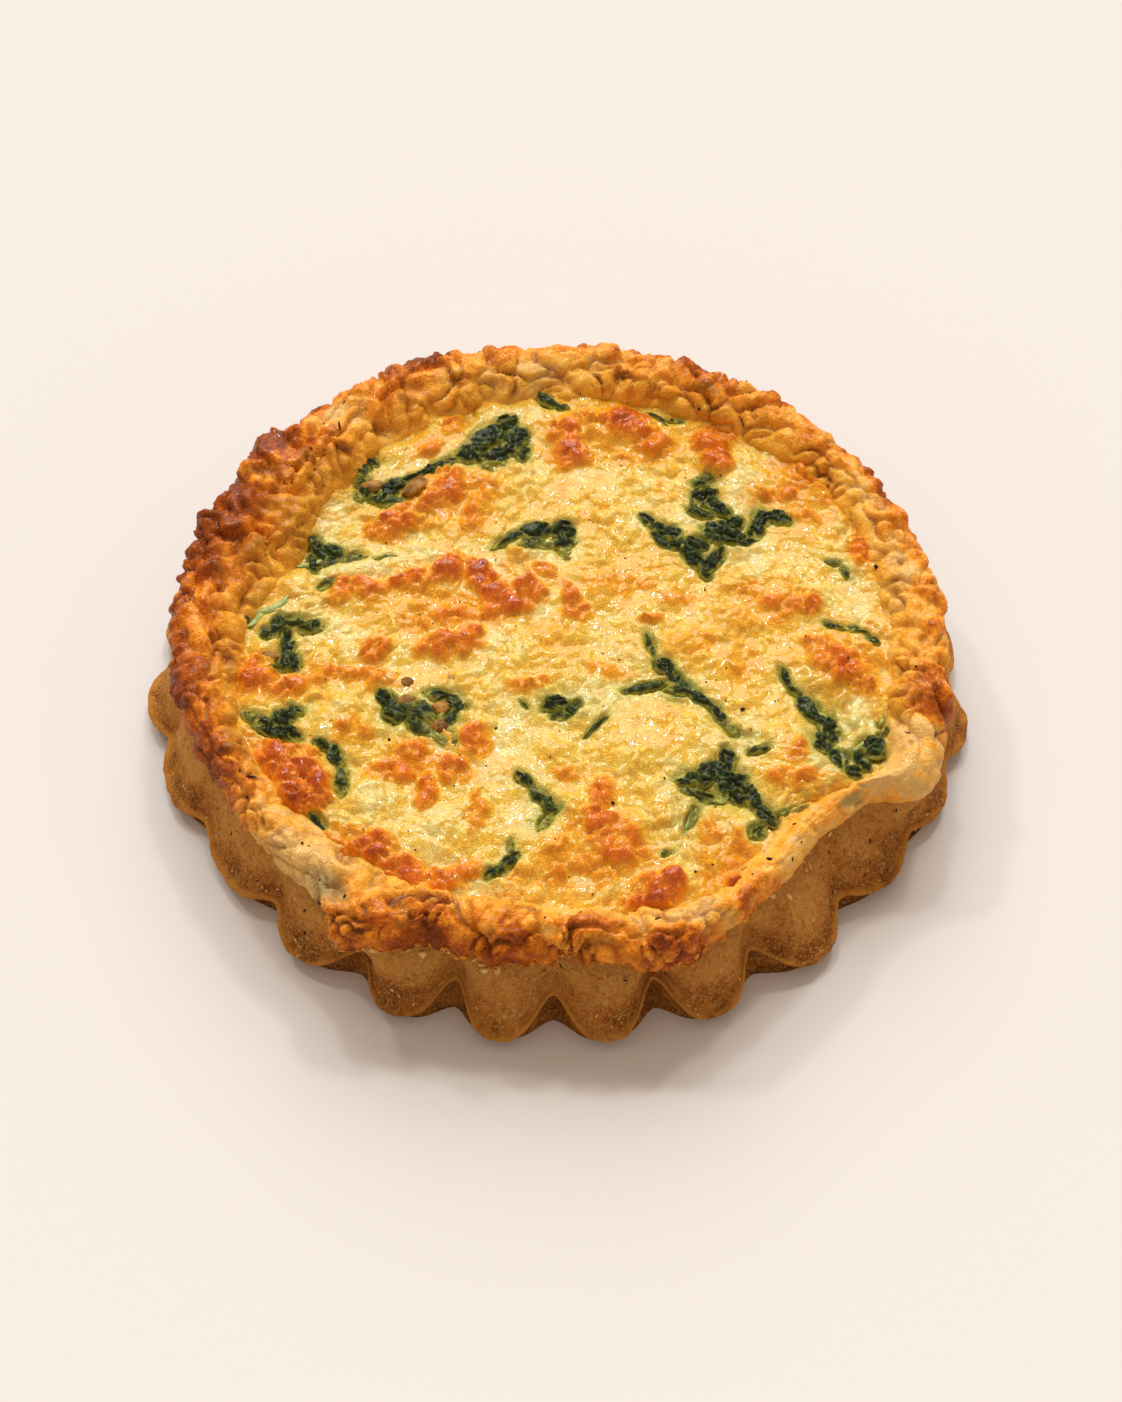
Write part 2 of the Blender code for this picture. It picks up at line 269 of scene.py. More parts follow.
@dataclass(frozen=True)
class QuicheShape:
    """Sizes of the whole quiche in millimetres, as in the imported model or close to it."""

    fill_height: float = 20.4
    fill_dome: float = 1.4
    crest_height: float = 24.0
    wall_height: float = 16.0
    base_tuck: float = 3.6
    lip_tip_height: float = 2.9
    far_tips: int = 10
    far_tip_radius: float = 75.3
    near_tips: tuple[tuple[float, float], ...] = (
        (166, 75.4), (181, 76), (196, 74.2), (215, 72.4), (232, 73.8), (248, 75.3), (262, 75.6),
        (277, 75.7), (291.5, 75.4), (308, 74.4), (326, 72.8), (341, 74.3), (354, 76),
    )  # fmt: skip
    rim_edge: Ring = Ring((
        (0, 69), (30, 68.5), (60, 68.5), (90, 68.5), (120, 69), (145, 69.5), (170, 69), (190, 67.6),
        (211, 65.8), (229, 67.4), (241, 72.6), (253, 66.6), (262, 68.2), (271, 66.4), (286, 70.6),
        (296, 67.5), (304, 64.6), (317, 61.4), (326, 63), (334, 72.6), (345, 70.5),
    ))  # fmt: skip
    fill_edge: Ring = Ring((
        (0, 60), (22, 60.4), (41, 60.4), (62, 58.5), (90, 58.5), (115, 57), (139, 54), (159, 51.5),
        (183, 57), (202, 60.5), (229, 59.5), (247, 60), (264, 58.8), (283, 61.5), (292, 63.4),
        (306, 59.6), (318, 56.4), (334, 65), (346, 61),
    ))  # fmt: skip
    crest_rise: Ring = Ring((
        (0, 0), (40, 0.2), (66, 1.0), (90, 0.4), (112, 0.8), (146, 1.4), (170, 0.4), (205, -0.4),
        (233, -1.0), (262, 0.2), (290, -0.2), (305, -1.2), (319, -2.0), (336, -0.4),
    ))  # fmt: skip
    lip_valley: Ring = Ring((
        (20, 72), (150, 72), (186, 72.6), (205, 70), (223, 69), (240, 68.4), (253, 67.5), (269, 68.7),
        (287, 67.6), (303, 68.3), (317, 68.8), (332, 71), (342, 73), (354, 73),
    ))  # fmt: skip
    lip_valley_height: Ring = Ring((
        (20, 3.4), (150, 3.4), (186, 3.2), (205, 3.4), (223, 4.2), (240, 6.6), (253, 7.2), (269, 7.6),
        (287, 7.4), (303, 7.0), (317, 4.8), (332, 3.6), (354, 3.2),
    ))  # fmt: skip
    base_valley: Ring = Ring((
        (20, 69), (150, 69), (186, 70.6), (205, 68.0), (223, 66.6), (240, 67.4), (253, 67.2), (269, 67.6),
        (287, 67.2), (303, 67.4), (317, 66.6), (332, 69.2), (342, 71), (354, 70.6),
    ))  # fmt: skip
    browned: tuple[Blot, ...] = (
        Blot(-24.5, 45, 8, 3.4, 35, 0.55), Blot(-20, 50, 5, 5, 0, 0.5),
        Blot(-19.6, 34.6, 5.5, 10, -12, 0.85), Blot(-21.4, 39.4, 4.5, 4.5, 0, 0.8),
        Blot(-24.5, 30, 9, 4.6, 28, 0.72), Blot(-31, 24.6, 9, 5.4, 12, 0.8),
        Blot(-14.6, 34, 8, 9, 0, 0.42), Blot(-16, 26, 4.5, 7, 0, 0.55),
        Blot(-36, 9.6, 9, 6.4, -18, 0.86), Blot(-28, 11.6, 9, 3.4, 22, 0.72),
        Blot(-19.6, 13.8, 9, 5.6, 36, 0.92), Blot(-14.4, 13, 7, 6, -60, 1.0),
        Blot(-11, 9, 6, 6, -50, 0.95), Blot(-5, 9, 5.4, 4.8, 0, 0.92), Blot(-3, 13.2, 7, 4, 0, 0.55),
        Blot(-10, 5.2, 9, 5, 0, 0.78), Blot(-18, 3.4, 12, 4.4, 6, 0.5),
        Blot(-25.6, 1.8, 8, 4.4, 0, 0.45), Blot(1.4, 48.4, 6.4, 5.6, 0, 0.82),
        Blot(2.6, 42.4, 7.4, 7.6, 0, 0.9), Blot(5.6, 51.6, 5, 4.4, 0, 0.5),
        Blot(13, 50.6, 9, 7.4, -30, 1.0), Blot(17.4, 45.4, 9, 4.6, -15, 0.72),
        Blot(29, 46, 8, 7, 0, 0.78), Blot(30, 41, 5.4, 7, 0, 0.72), Blot(41.6, 33, 8, 4.6, 0, 0.5),
        Blot(47, 37, 12, 10, 30, 0.4), Blot(46, 27.4, 9, 4.6, 0, 0.42), Blot(56.4, 20, 5.4, 7, 0, 0.55),
        Blot(2.6, 8, 4.4, 6.6, 20, 0.62), Blot(4.2, 4, 5, 4.4, 0, 0.6), Blot(12, 11, 11, 6, 0, 0.36),
        Blot(16.4, 11, 5, 3.4, 0, 0.46), Blot(22, 7, 7, 4.4, 0, 0.36),
        Blot(17.4, 2.8, 5.4, 2.2, 20, 0.5), Blot(36, 9.6, 7, 5.6, 0, 0.42),
        Blot(41.2, 6, 9, 6.4, 0, 0.64), Blot(46.6, 6, 3, 4, 0, 0.62), Blot(-21, -3, 9, 6, 20, 0.86),
        Blot(-16.6, -2, 5.4, 6.4, 0, 0.9), Blot(-33, -4.6, 5.4, 5, 0, 0.7),
        Blot(-38, -9.6, 15, 3.4, 0, 0.52), Blot(-32, -12, 6, 4, 0, 0.42), Blot(-54, -9, 8, 8, 0, 0.85),
        Blot(-47.6, -12.6, 7.4, 5.4, 0, 0.75), Blot(-26, -27, 5.4, 4.4, 0, 0.7),
        Blot(-28.6, -31, 9.4, 5.4, 0, 0.66), Blot(-22.6, -35.6, 3.4, 8, 0, 0.85),
        Blot(-18.2, -31, 5.4, 5.4, 0, 0.8), Blot(-14.4, -24.4, 5.4, 6.4, 30, 0.78),
        Blot(-14, -40, 3.4, 11, 0, 0.5), Blot(-50, -27.6, 6, 9, 20, 0.8),
        Blot(-44.6, -33, 11, 6.6, -30, 1.08), Blot(-45, -38, 8, 5.4, -20, 1.08),
        Blot(-40.6, -37, 4.4, 5, 0, 0.9), Blot(-44.4, -27, 11, 4.4, -20, 0.5),
        Blot(-31.4, -46.8, 6.6, 6.4, 0, 1.05), Blot(-26, -52, 10, 5.4, -25, 0.78),
        Blot(-20, -54, 5.4, 4.8, 0, 1.02), Blot(-35.6, -49, 6, 6, 0, 0.5),
        Blot(-15.6, -52, 7, 4.4, 0, 0.55), Blot(-36, -23, 8, 5, 0, 0.4), Blot(8, -36.6, 5, 7, 0, 0.72),
        Blot(7, -43, 9, 6.6, 0, 0.86), Blot(10.6, -47.6, 8.6, 7.6, 0, 0.82),
        Blot(2, -32, 6, 3.4, 0, 0.5), Blot(1, -47.6, 7, 4.4, 0, 0.42), Blot(15.4, -57, 8.6, 6, 10, 0.92),
        Blot(19.6, -55.6, 4.4, 6.4, 0, 0.9), Blot(32.4, -55.6, 6.4, 5.4, 20, 0.92),
        Blot(42, -27.6, 4.6, 4.6, 0, 0.62), Blot(42, -33, 8, 4.6, 0, 0.4), Blot(51, -8, 11, 8.4, 0, 0.6),
        Blot(51.6, -9.6, 5.4, 5.4, 0, 0.82), Blot(47, -4, 6.6, 5, 0, 0.52),
        Blot(54, -12, 5, 4.4, 0, 0.62), Blot(28, -45.6, 8.4, 5.4, 0, 0.36), Blot(9, -9, 9, 4, 0, 0.3),
        Blot(-5, -12.5, 7, 3.4, 0, 0.45), Blot(24, -4, 9, 6, 0, 0.26), Blot(33, -7, 8, 7, 0, 0.3),
        Blot(6, -51, 26, 9, 4, 0.34), Blot(-32, -50, 22, 9, -28, 0.36), Blot(29, -50, 12, 14, 40, 0.3),
        Blot(-48, -30, 14, 20, 20, 0.34), Blot(-20, 8, 40, 16, 5, 0.26), Blot(-24, 31, 22, 14, 25, 0.28),
        Blot(10, 46, 28, 14, -8, 0.26), Blot(52, -6, 16, 18, 0, 0.28), Blot(-50, -10, 14, 12, 0, 0.34),
        Blot(44, 32, 18, 18, 0, 0.24), Blot(-20, -28, 20, 12, 0, 0.28), Blot(38, 6, 20, 12, 0, 0.22),
    )  # fmt: skip
    mounds: tuple[Blot, ...] = (
        Blot(17, -23.4, 20, 14, -10, 1.3), Blot(40.6, -31, 15, 13, 10, 1.5),
        Blot(28, -44.6, 10, 10, 0, 1.2), Blot(20.6, -38, 8, 15, 0, 1.0), Blot(9, -43, 13, 15, 20, 1.0),
        Blot(-38.6, -19.6, 9, 10, 0, 1.3), Blot(-31, -37, 10, 9, 0, 1.1),
        Blot(-21.4, -43, 10, 10, 0, 0.9), Blot(50, -7.6, 15, 14, 0, 1.2),
        Blot(33.6, 32.6, 7, 13, -8, 1.5), Blot(-45, -33, 13, 13, 0, 1.3), Blot(-24, 32, 20, 8, 40, 0.7),
        Blot(-14, 11, 22, 9, -10, 0.8), Blot(13, 49, 16, 9, -10, 1.3), Blot(2, 46, 8, 12, 0, 0.6),
        Blot(29, 44, 8, 12, 0, 0.7), Blot(-36, 9.6, 11, 8, -10, 0.8), Blot(-19, -2.6, 14, 7, 10, 0.7),
        Blot(-31.4, -47, 7, 7, 0, 1.2), Blot(17, -56.6, 12, 7, 10, 1.3), Blot(32.4, -55.6, 7, 6, 0, 1.2),
        Blot(-20, -54, 6, 5, 0, 1.1), Blot(-33, 15.6, 20, 4.4, 12, 0.7), Blot(27, -5, 14, 9, 0, 0.6),
        Blot(3, -9, 9, 8, 0, 0.6), Blot(42, 6, 12, 9, 0, 0.6), Blot(-41, -3, 9, 11, 0, 0.7),
        Blot(3, 35, 16, 9, 0, 0.5), Blot(-4, -47, 8, 6, 0, 0.6), Blot(46, 37, 10, 10, 0, 0.6),
        Blot(-7, -31, 8, 8, 0, 0.5),
    )  # fmt: skip
    pale: tuple[Blot, ...] = (
        Blot(33.6, 33, 8, 14, -8, 1.0), Blot(-38.6, -19.6, 9, 11, 0, 0.8),
        Blot(-34, 15.4, 24, 4.6, 12, 0.9), Blot(8, -14, 16, 9, 20, 0.7), Blot(32.4, -25, 8, 9, 0, 0.9),
        Blot(19.4, -41, 8, 16, 0, 0.6), Blot(-31, -37.6, 10, 8, 0, 0.5), Blot(-20, -43, 12, 12, 0, 0.5),
        Blot(52, 10, 12, 9, -30, 0.6), Blot(54, -18, 9, 9, 30, 0.9), Blot(58, -6, 6, 14, 0, 0.7),
        Blot(-4, -56, 26, 5, 4, 0.8), Blot(23, -52, 7, 9, 0, 0.8), Blot(47, -27, 6, 9, 20, 0.6),
        Blot(-41, 36, 7, 22, -30, 0.7), Blot(-45, 8, 8, 10, 0, 0.5), Blot(-44, 27, 9, 7, 20, 0.6),
        Blot(36, 48, 18, 5, -30, 0.6), Blot(-5, -40, 9, 7, 0, 0.8), Blot(20, -10, 9, 5, -40, 0.6),
        Blot(26, -13, 7, 5, 0, 0.5), Blot(35, -46, 5, 9, 40, 0.8), Blot(-41, -42, 9, 5, -40, 0.6),
        Blot(12, 27, 10, 6, 0, 0.4), Blot(-9, 54, 10, 4, -5, 0.4), Blot(-28, -7.6, 10, 4, 0, 0.3),
        Blot(24, 26.5, 7, 3.4, -10, 0.8),
    )  # fmt: skip

    def tips(self) -> list[tuple[float, float]]:
        """Angle and radius of each petal's tip, a full turn from the first to the first again."""
        first, last = self.near_tips[0][0] + 360.0, self.near_tips[-1][0]
        step = (first - last) / (self.far_tips + 1)
        far = [(last + step * (count + 1), self.far_tip_radius) for count in range(self.far_tips)]
        return list(self.near_tips) + far + [(first, self.near_tips[0][1])]

    def columns(self, per_flute: int) -> tuple[Array, Array, Array]:
        """Evenly shared columns between the petals' tips.

        Args:
            per_flute: Columns from one tip to the next.

        Returns:
            Angle, place between tips from 0 to 1, and radius of the nearer tip, for each column.
        """
        tips = self.tips()
        share = np.arange(per_flute) / per_flute
        angle = [start + (end - start) * share for (start, _), (end, _) in zip(tips, tips[1:])]
        reach = [blend(a, b, ramp(0.3, 0.7, share)) for (_, a), (_, b) in zip(tips, tips[1:])]
        return np.concatenate(angle), np.tile(share, len(tips) - 1), np.concatenate(reach)


SHAPE = QuicheShape()
CUSTARD_GRAIN = Grain(11)
PASTRY_GRAIN = Grain(23)
LEAF_GRAIN = Grain(37)


@dataclass(frozen=True)
class Leaf:
    """One strip or scrap of cooked leaf seen from above."""

    x: float
    y: float
    length: float
    width: float
    heading: float
    lift: float = 0.25

    def grown(self, margin: float) -> Blot:
        """Oval round the leaf with a margin in millimetres."""
        return Blot(self.x, self.y, self.length + 2 * margin, self.width + 2 * margin, self.heading)


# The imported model's clumps, in its own order, each as its leaves; a low lift leaves a leaf mostly sunk.
CLUMPS = (
    (
        Leaf(-13.6, 47.4, 9, 5, 52, 0.5), Leaf(-9.6, 51, 5.4, 4.2, 50, 0.35),
        Leaf(-8, 47.2, 7, 4.2, 55, 0.45), Leaf(-15.8, 43.2, 7.4, 4.8, 12, 0.35),
        Leaf(-11, 43.6, 7.4, 4.6, 25, 0.4), Leaf(-12, 40.8, 6, 3, 0, 0.0),
        Leaf(-20.4, 41.4, 5, 2, 40, 0.3), Leaf(-6.6, 43.6, 5, 3, 70, 0.1),
    ),
    (
        Leaf(-24, 39.2, 8, 2.2, 38, 0.35), Leaf(-27.8, 36.6, 6, 2.4, 35, 0.3),
        Leaf(-31, 34.6, 6.4, 4, 40, 0.4), Leaf(-33.4, 32.6, 5.4, 3.4, -10, 0.3),
        Leaf(-36, 33.8, 5, 3, 60, 0.2), Leaf(-31.4, 31, 8.4, 2.8, -5, 0.0),
        Leaf(-37, 37.4, 3, 5, 10, 0.0),
    ),
    (
        Leaf(-8.6, 21.8, 8.4, 1.9, 34, 0.35), Leaf(-3.6, 23.4, 8, 4, 14, 0.5),
        Leaf(0.8, 23.6, 5.6, 4.2, -22, 0.45), Leaf(1.2, 21, 4, 4.4, 100, 0.25),
        Leaf(-4, 20.2, 8, 3, 5, 0.05), Leaf(1.6, 18.6, 3.4, 3.4, 0, -0.1),
    ),
    (
        Leaf(16.8, 26, 5, 1.9, -50, 0.4), Leaf(20.6, 23.2, 7, 3.6, -33, 0.5),
        Leaf(19, 21.4, 6.4, 1.8, -50, 0.35), Leaf(25.8, 20.8, 4.8, 3.6, -20, 0.5),
        Leaf(22.6, 19.8, 5.4, 2.4, -15, 0.35), Leaf(25.2, 17.2, 7.4, 3.4, -50, 0.45),
        Leaf(28.8, 16.8, 7.6, 3, 60, 0.5), Leaf(27.2, 14, 3.8, 2.4, -70, 0.35),
        Leaf(29.6, 23.6, 7, 5, -10, 0.45),
    ),
    (
        Leaf(27.4, 36, 4.8, 3.2, 20, 0.1), Leaf(27.4, 32.2, 6, 5, 40, 0.55),
        Leaf(29.8, 29.2, 7, 2.2, -45, 0.5), Leaf(26.6, 28.4, 6, 3, -22, 0.2),
    ),
    (
        Leaf(37.8, 27.4, 6, 3.8, 65, 0.5), Leaf(41, 27.4, 6, 3, -25, 0.4),
        Leaf(36.6, 24.4, 6.6, 3.2, 75, 0.4), Leaf(33, 25.2, 4, 3, 40, 0.4),
        Leaf(35, 21.8, 6, 2.6, 15, 0.35), Leaf(32.4, 22.4, 5, 3, 0, 0.4),
    ),
    (
        Leaf(-43.8, 19.6, 7, 2.8, -65, 0.4), Leaf(-45, 16.8, 6, 1.8, -76, 0.35),
        Leaf(-41.4, 19, 5.6, 3, -30, 0.3), Leaf(-38, 17.6, 6.4, 2, 5, 0.2),
        Leaf(-42.4, 17.2, 5.4, 2.6, 25, 0.3), Leaf(-45.4, 22.8, 3.6, 2, 0, 0.2),
    ),
    (
        Leaf(-50.6, 1.8, 5.4, 2.6, 78, 0.4), Leaf(-48, 2.6, 4.4, 2.6, 10, 0.3),
        Leaf(-44.6, 1.2, 5, 2.8, 12, 0.25), Leaf(-48.6, -2.6, 8.4, 2.4, -85, 0.5),
        Leaf(-47.8, -6.4, 6.4, 3.4, -70, 0.4), Leaf(-50.6, -7.8, 5, 3.2, 0, 0.1),
        Leaf(-52.4, 0, 3.4, 3, 0, 0.2),
    ),
    (
        Leaf(-52, -21, 7.6, 2.8, -45, 0.35), Leaf(-48.6, -19.4, 4.8, 3.8, 0, 0.45),
        Leaf(-47.2, -18, 4.4, 2.8, 10, 0.3), Leaf(-47.8, -23, 6, 3, -20, 0.45),
        Leaf(-54.6, -18.6, 4.4, 2, -40, 0.05),
    ),
    (
        Leaf(-41.4, -25.4, 4.4, 1.6, -35, 0.3), Leaf(-38.8, -28, 5, 2.6, -75, 0.4),
        Leaf(-37.8, -33.4, 6.6, 2.2, -85, 0.3),
    ),
    (
        Leaf(-30.4, -15.6, 5.6, 3, -60, 0.4), Leaf(-28.8, -18.6, 5.2, 3.4, -40, 0.45),
        Leaf(-24.6, -18.4, 7.6, 4.2, -35, 0.2), Leaf(-24.4, -21.4, 6.6, 2.8, -40, 0.2),
        Leaf(-20, -15, 7.6, 2.6, -20, 0.25), Leaf(-18, -16.6, 4.6, 3, -40, 0.2),
        Leaf(-19, -19.6, 5.6, 2.2, 60, 0.1), Leaf(-21, -24, 6, 2.4, -45, -0.05),
        Leaf(-18.6, -24, 5.4, 2, -80, 0.0),
    ),
    (
        Leaf(-0.4, -17, 5, 3.2, 20, 0.4), Leaf(2.6, -17.8, 4.2, 2.2, 32, 0.35),
        Leaf(1, -19.2, 4.8, 2.2, 15, 0.2),
    ),
    (
        Leaf(16.8, -3.6, 6, 1.3, -75, 0.3), Leaf(19.4, -8.4, 5, 2.8, -50, 0.4),
        Leaf(21.6, -11.4, 6.6, 2.1, -45, 0.35), Leaf(15.6, -13, 8.6, 1.9, 16, 0.4),
        Leaf(25.4, -15.6, 6.8, 2.2, -45, 0.4), Leaf(28.4, -19, 6.8, 2.1, -58, 0.35),
        Leaf(22, -14, 7.6, 1.9, -12, 0.15), Leaf(30.6, -22, 4.6, 1.6, -50, 0.05),
    ),
    (
        Leaf(30.2, -28.6, 5.6, 2.8, -80, 0.45), Leaf(26.6, -32, 7.6, 4, 35, 0.5),
        Leaf(22.6, -33.2, 5.6, 2.8, 15, 0.3), Leaf(30.4, -33, 7, 5, -30, 0.5),
        Leaf(24.6, -36, 6.6, 2.3, -10, 0.25), Leaf(33.6, -36.4, 6.8, 2.8, -58, 0.4),
        Leaf(36.2, -40, 6.8, 2.8, -50, 0.4), Leaf(27, -37.4, 6.6, 2, 15, 0.05),
        Leaf(34.8, -43.8, 4.6, 2.6, 45, 0.1), Leaf(23.4, -41.4, 5.6, 1.6, 70, 0.1),
        Leaf(31, -36.6, 5, 2.4, -20, 0.3),
    ),
    (
        Leaf(40.8, -10.4, 5, 1.4, -75, 0.4), Leaf(45, -17, 7.6, 3.2, -55, 0.4),
        Leaf(48.2, -21, 7.8, 3.4, -75, 0.5), Leaf(47.4, -24.6, 5.6, 4, -60, 0.35),
        Leaf(49.6, -28, 5.6, 2.8, -60, 0.3), Leaf(42.4, -13.4, 3.6, 1.2, -40, 0.3),
    ),
    (
        Leaf(55.4, -26, 5.4, 4.6, -30, 0.45), Leaf(53.6, -28.8, 5.4, 2.6, -60, 0.35),
        Leaf(52, -31, 4.2, 2.6, -50, 0.3), Leaf(57.8, -22.2, 5, 0.9, 62, 0.3),
    ),
    (
        Leaf(50, 1.6, 4.4, 1.2, -8, 0.2), Leaf(54, 1, 5.4, 1.6, -15, 0.2),
        Leaf(57, -1.2, 3.4, 2, -40, 0.25),
    ),
    (
        Leaf(-5.6, -33.4, 5.2, 2, -45, 0.45), Leaf(-2.6, -37, 6.8, 2.7, -45, 0.5),
        Leaf(-1, -39.4, 3.6, 1.7, 0, 0.25), Leaf(-2, -42, 5.4, 1.6, 58, 0.0),
    ),
    (
        Leaf(-8.3, -50, 4.6, 2.2, 40, 0.35), Leaf(-10.6, -52.2, 4.4, 2, 25, 0.4),
        Leaf(-8, -47.4, 3.4, 0.9, 75, 0.2),
    ),
)  # fmt: skip
# Scraps too small for a solid of their own.
SLIVERS = (
    Leaf(-35.4, 41.4, 4, 2, -30, 0.35), Leaf(-36.4, 39.4, 4, 3, 60, 0.1),
    Leaf(-2.2, 57.4, 6.4, 2.4, -46, 0.5), Leaf(0.8, 55.4, 3, 1.6, 0, 0.4),
    Leaf(19, 52.4, 5, 1.2, -38, 0.35), Leaf(22.8, 51.8, 3.4, 1.1, -10, 0.3),
    Leaf(-56.6, 4.2, 4.8, 2.4, 100, 0.35), Leaf(-42.2, 11.4, 4, 1.7, 35, 0.15),
    Leaf(-41.6, -41.4, 5.2, 1.9, -50, 0.35), Leaf(6.8, -22.2, 6.4, 1.2, 45, 0.35),
    Leaf(35.6, -27, 4.8, 2, 18, 0.45), Leaf(52.8, 14.6, 3.2, 1, -65, 0.3),
    Leaf(50.6, 17, 3.2, 1, -10, 0.15), Leaf(40.6, -39.2, 7.4, 0.8, 22, 0.15),
    Leaf(-5.9, -16.9, 2.2, 0.8, -55, 0.25), Leaf(18.6, -48.6, 1.8, 1.2, 30, 0.2),
    Leaf(57.6, -19.4, 3, 0.8, 70, 0.15), Leaf(-31.6, 17.4, 5, 1, 10, 0.0),
)  # fmt: skip
ALL_LEAVES = tuple(leaf for clump in CLUMPS for leaf in clump) + SLIVERS


# ---------------------------------------------------------------- the filling's top as a field


@dataclass(frozen=True)
class CustardTop:
    """Height and colouring of the custard at any point of the plan."""

    shape: QuicheShape = SHAPE
    grain: Grain = CUSTARD_GRAIN
    curd: float = 3.4
    small_curd: float = 1.5

    def rim_share(self, x: Array, y: Array) -> Array:
        """0 in the middle and 1 where the filling meets the rim."""
        return np.hypot(x, y) / self.shape.fill_edge.at(np.degrees(np.arctan2(y, x)))

    def warped(self, x: Array, y: Array, size: float, far: float) -> tuple[Array, Array]:
        """Plan positions pushed about so that ovals get ragged outlines."""
        flat = on_plane(x, y)
        return x + far * self.grain.layered(flat, size, 3), y + far * self.grain.layered(flat + 57.0, size, 3)

    def leaf_near(self, x: Array, y: Array, margin: float, soft: float) -> Array:
        """1 on the leaves, falling to 0 past a margin.

        Args:
            x: Plan positions.
            y: Plan positions.
            margin: How far past a leaf's edge the value reaches, in millimetres.
            soft: Width of the fading edge as a share of the leaf.

        Returns:
            Array from 0 to 1.
        """
        wx, wy = self.warped(x, y, 4.0, 0.9)
        total = np.zeros_like(x)
        for leaf in ALL_LEAVES:
            reach = leaf.grown(margin).reach(wx, wy)
            total = np.maximum(total, ramp(1.0 + soft, 1.0 - soft, reach) * ramp(-0.3, 0.3, leaf.lift + 0.1))
        return total

    def curds(self, x: Array, y: Array) -> tuple[Array, Array, Array]:
        """Lumps of curd, the creases between them and each lump's own chance."""
        return self.grain.cobbles(on_plane(x, y, 4.0), self.curd, 0.5)

    def toast(self, x: Array, y: Array) -> Array:
        """How browned the cheese is, 0 to about 1.

        Args:
            x: Plan positions.
            y: Plan positions.

        Returns:
            Array from 0 to 1.15.
        """
        wx, wy = self.warped(x, y, 5.0, 1.7)
        core = blots_at(self.shape.browned, wx, wy, 0.5)
        halo = blots_at(self.shape.browned, wx, wy, 1.1)
        lumps, crease, mark = self.curds(x, y)
        fine = self.grain.layered(on_plane(x, y, 27.0), 2.2, 3)
        fleck = ramp(0.3, 0.9, self.grain.layered(on_plane(x, y, 9.0), 4.6, 3) * 0.5 + 0.5)
        mixed = core * (0.58 + 0.46 * lumps + 0.4 * (mark - 0.5)) + 0.36 * halo * (1.0 - core)
        return np.clip(mixed + 0.2 * fleck * lumps + 0.1 * fine - 0.1 * crease * core, 0.0, 1.15)

    def gold(self, x: Array, y: Array) -> Array:
        """Slow change from pale custard to golden cheese, 0 to 1.

        Args:
            x: Plan positions.
            y: Plan positions.

        Returns:
            Array from 0 to 1.
        """
        slow = self.grain.layered(on_plane(x, y, 2.0), 13.0, 3)
        fine = self.grain.layered(on_plane(x, y, 15.0), 3.4, 3)
        pale = blots_at(self.shape.pale, *self.warped(x, y, 6.0, 2.0), 0.5)
        return np.clip(0.5 + 0.65 * slow + 0.45 * fine - 0.5 * pale, 0.0, 1.0)

    def base(self, x: Array, y: Array) -> Array:
        """Height of the custard without its curds, which the leaves lie on.

        Args:
            x: Plan positions.
            y: Plan positions.

        Returns:
            Heights in millimetres.
        """
        share = np.clip(self.rim_share(x, y), 0.0, 1.05)
        flat = on_plane(x, y)
        level = self.shape.fill_height + self.shape.fill_dome * (1.0 - share**2)
        level = level + 0.6 * self.grain.smooth(flat + 5.0, 13.0) + 0.35 * self.grain.smooth(flat, 6.0)
        return level + 0.95 * blots_at(self.shape.mounds, *self.warped(x, y, 7.0, 1.2), 0.6)

    def height(self, x: Array, y: Array) -> Array:
        """Height of the custard in millimetres.

        Args:
            x: Plan positions.
            y: Plan positions.

        Returns:
            Heights in millimetres, curds and wrinkles included.
        """
        flat = on_plane(x, y)
        level = self.base(x, y)
        lumps, crease, mark = self.curds(x, y)
        small, small_crease, _ = self.grain.cobbles(on_plane(x, y, 21.0), self.small_curd, 0.6)
        browned = ramp(0.25, 0.85, self.toast(x, y))
        leaf = self.leaf_near(x, y, 0.2, 0.3)
        rough = np.clip(0.65 + 0.6 * self.grain.smooth(flat + 80.0, 9.0), 0.15, 1.2)
        calm = 1.0 - 0.45 * leaf
        bend = np.stack([self.grain.smooth(flat + 300.0 + 9.0 * axis, 2.6) for axis in range(3)], axis=-1)
        wrinkle = 1.0 - np.abs(self.grain.smooth(flat + bend * 1.8 + 140.0, 1.7)) * 3.0
        puff = np.clip(np.abs(self.grain.smooth(flat + bend + 500.0, 5.6)) * 1.8, 0.0, 1.0)
        level = level + (0.95 * rough * (0.25 + mark) + 1.1 * browned) * lumps * calm
        level = level + 0.7 * rough * puff * calm
        level = level - 0.25 * crease * calm * rough
        level = level + (0.34 * small - 0.06 * small_crease) * calm * (0.4 + 0.7 * browned)
        level = level + 0.12 * np.clip(wrinkle, -0.4, 1.0) * (0.4 + 0.6 * rough) * calm
        level = level + 0.35 * browned - 0.6 * leaf
        groove = ramp(0.88, 1.0, self.rim_share(x, y))
        return level - 0.3 * groove + 0.6 * groove * self.grain.smooth(flat + 13.0, 5.0)


TOP = CustardTop()


# ---------------------------------------------------------------- mesh helpers


def new_object(name: str, shape: bmesh.types.BMesh) -> bpy.types.Object:
    """Object at the origin made from a bmesh, which is freed.

    Args:
        name: The object's name.
        shape: Its mesh, in metres; it is freed here.

    Returns:
        The object, at the origin and linked to the scene.
    """
    mesh = bpy.data.meshes.new(name)
    shape.to_mesh(mesh)
    shape.free()
    mesh.shade_smooth()
    piece = bpy.data.objects.new(name, mesh)
    bpy.context.scene.collection.objects.link(piece)
    return piece


